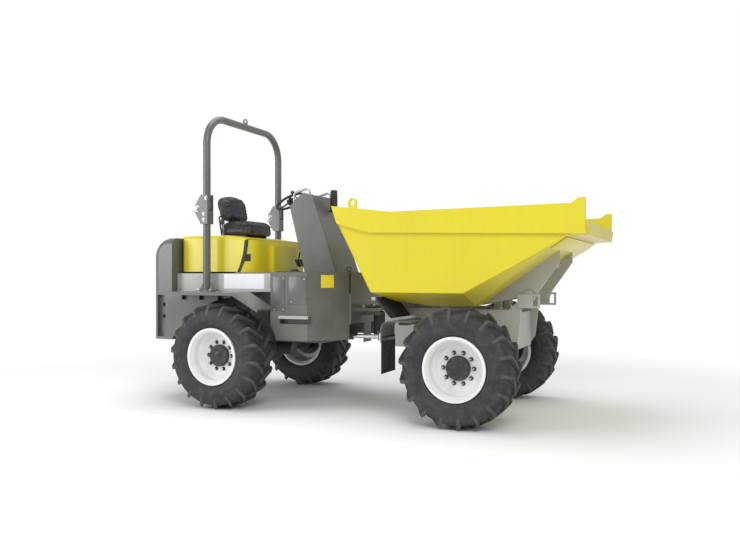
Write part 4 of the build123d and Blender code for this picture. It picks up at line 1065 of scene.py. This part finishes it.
# Hoses: one over the joint on each side.
hoseLook = {
    "start": (-0.075, 0.135, 1.035), "leaving": (1, 0, -0.25), "end": (0.168, 0.052, 0.952),
    "arriving": (0.5, 0.1, 1), "pull": 0.16, "diameter": 0.022,
}


def makeHose(name, side):
    look = hoseLook
    start, leaving, end, arriving = (
        (look[key][0], side * look[key][1], look[key][2]) for key in ("start", "leaving", "end", "arriving"))
    leaving, arriving = Vector(leaving).normalized(), Vector(arriving).normalized()
    diameter = look["diameter"]
    points = curveThrough(start, leaving, end, arriving, look["pull"])
    length = sum((b - a).length for a, b in zip(points, points[1:]))
    mesh = tube(points, diameter / 2, 12)
    mesh.materials.append(materials["black_rubber"])
    mesh.shade_smooth()
    hose = linked(name, mesh)
    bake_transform(hose)
    collar = [(0.0, 0.030), (diameter * 0.62, 0.030), (diameter * 0.72, 0.024), (diameter * 0.72, 0.008),
              (diameter * 0.8, 0.006), (diameter * 0.8, -0.012), (0.0, -0.012)]
    ends = (("start", chassis, start, leaving), ("end", "knuckle", end, arriving))
    for word, body, spot, heading in ends:
        addPiece(f"{name}_{word}_collar", lathe(collar, 12, aimed(spot, heading)), body, "bright_steel", 30)


makeHose("supply_hose", -1)
makeHose("return_hose", 1)
print("hoses done")


# Skip: weld runs on its folds and the strip under its lip, with the bars of the mud flaps.
sideFold = [(0.044, 0.9455, 1.859), (0.389, 0.9455, 1.208), (1.291, 0.9455, 1.208), (2.13, 0.9455, 1.6557)]
baseFold = [(0.84, 0.60, 1.0795), (1.30, 0.60, 1.0795)]
weldLines = [sideFold, baseFold]
weldLines += [[(x, -y, z) for x, y, z in line] for line in weldLines[:2]]
weld("skip_welds", weldLines, "skip", "yellow_paint")
lipStrip = slab([(2.045, 1.6000), (2.185, 1.6980), (2.193, 1.6900), (2.060, 1.5965)], -0.86, 0.86, 0.0015)
addPiece("lip_strip", lipStrip, "skip", "yellow_paint", 30)
flapBar = roundedBox((0.5605, 0.775, 0.765), (0.5665, 1.065, 0.792), 0.002)
addPiece("flap_bars", bothSides(flapBar), "front_chassis", "bright_steel", 30)
print("skip done")


# Floor, background, light and camera.
stageLook = {"floorRadius": 60.0, "fadeFrom": 3.2, "fadeTo": 6.5, "floorTone": 0.93}


def makeFloor():
    look = stageLook
    bpy.ops.mesh.primitive_circle_add(vertices=96, radius=look["floorRadius"], fill_type="NGON")
    floor = bpy.context.object
    floor.name = "floor"
    floor.location.z = -0.0015
    graph, coords = newMaterial("floor")
    distance = graph.make("ShaderNodeVectorMath", {"operation": "LENGTH"}, {0: coords}).out("Value")
    tone = (look["floorTone"],) * 3
    matte = graph.first("ShaderNodeBsdfDiffuse", {"Color": opaque(tone)})
    white = graph.first("ShaderNodeEmission", {"Color": opaque((1.0, 1.0, 1.0)), "Strength": 1.0})
    fade = distance.between(look["fadeFrom"], look["fadeTo"])
    surface = graph.first("ShaderNodeMixShader", {0: fade, 1: matte, 2: white})
    graph.make("ShaderNodeOutputMaterial", {}, {"Surface": surface})
    floor.data.materials.append(graph.owner)


def makeWorld():
    world = bpy.data.worlds.new("studio")
    world.use_nodes = True
    world.node_tree.nodes.clear()
    graph = Graph(world.node_tree)
    seen = graph.make("ShaderNodeLightPath", {}, {}).out("Is Camera Ray")
    glow = graph.first("ShaderNodeBackground", {"Color": opaque((0.95, 0.97, 1.0)), "Strength": 0.6})
    plain = graph.first("ShaderNodeBackground", {"Color": opaque((1.0, 1.0, 1.0)), "Strength": 1.0})
    mixed = graph.first("ShaderNodeMixShader", {0: seen, 1: glow, 2: plain})
    graph.make("ShaderNodeOutputWorld", {}, {"Surface": mixed})
    bpy.context.scene.world = world


lampTable = [
    ("key", (4.5, -7.0, 6.5), (0.3, 0.0, 1.0), 4.5, 330.0, (1.0, 0.98, 0.95)),
    ("top", (-1.0, 0.5, 8.0), (0.0, 0.0, 1.0), 6.0, 260.0, (1.0, 1.0, 1.0)),
    ("fill", (-6.5, -6.0, 3.0), (-1.0, 0.0, 1.0), 4.0, 230.0, (0.95, 0.97, 1.0)),
]
for name, spot, target, size, power, colour in lampTable:
    lamp = bpy.data.lights.new(name, "AREA")
    configure(lamp, shape="DISK", size=size, energy=power, color=colour)
    heading = (Vector(target) - Vector(spot)).to_track_quat("-Z", "Y").to_euler()
    configure(linked(name, lamp), location=spot, rotation_euler=heading)

makeFloor()
makeWorld()
cameraLook = {
    "place": (3.243, -7.220, 1.383), "turn": math.radians(23.43), "lens": 35.7, "film": 36,
    "shiftX": -0.0189, "shiftY": 0.0048, "reach": 200,
}
cameraData = bpy.data.cameras.new("camera")
configure(cameraData, sensor_width=cameraLook["film"], lens=cameraLook["lens"], shift_x=cameraLook["shiftX"],
          shift_y=cameraLook["shiftY"], clip_end=cameraLook["reach"])
camera = linked("camera", cameraData)
configure(camera, location=cameraLook["place"], rotation_euler=(math.pi / 2, 0, cameraLook["turn"]))
bpy.context.scene.camera = camera
bpy.context.scene.view_settings.view_transform = "Standard"
print("stage done")
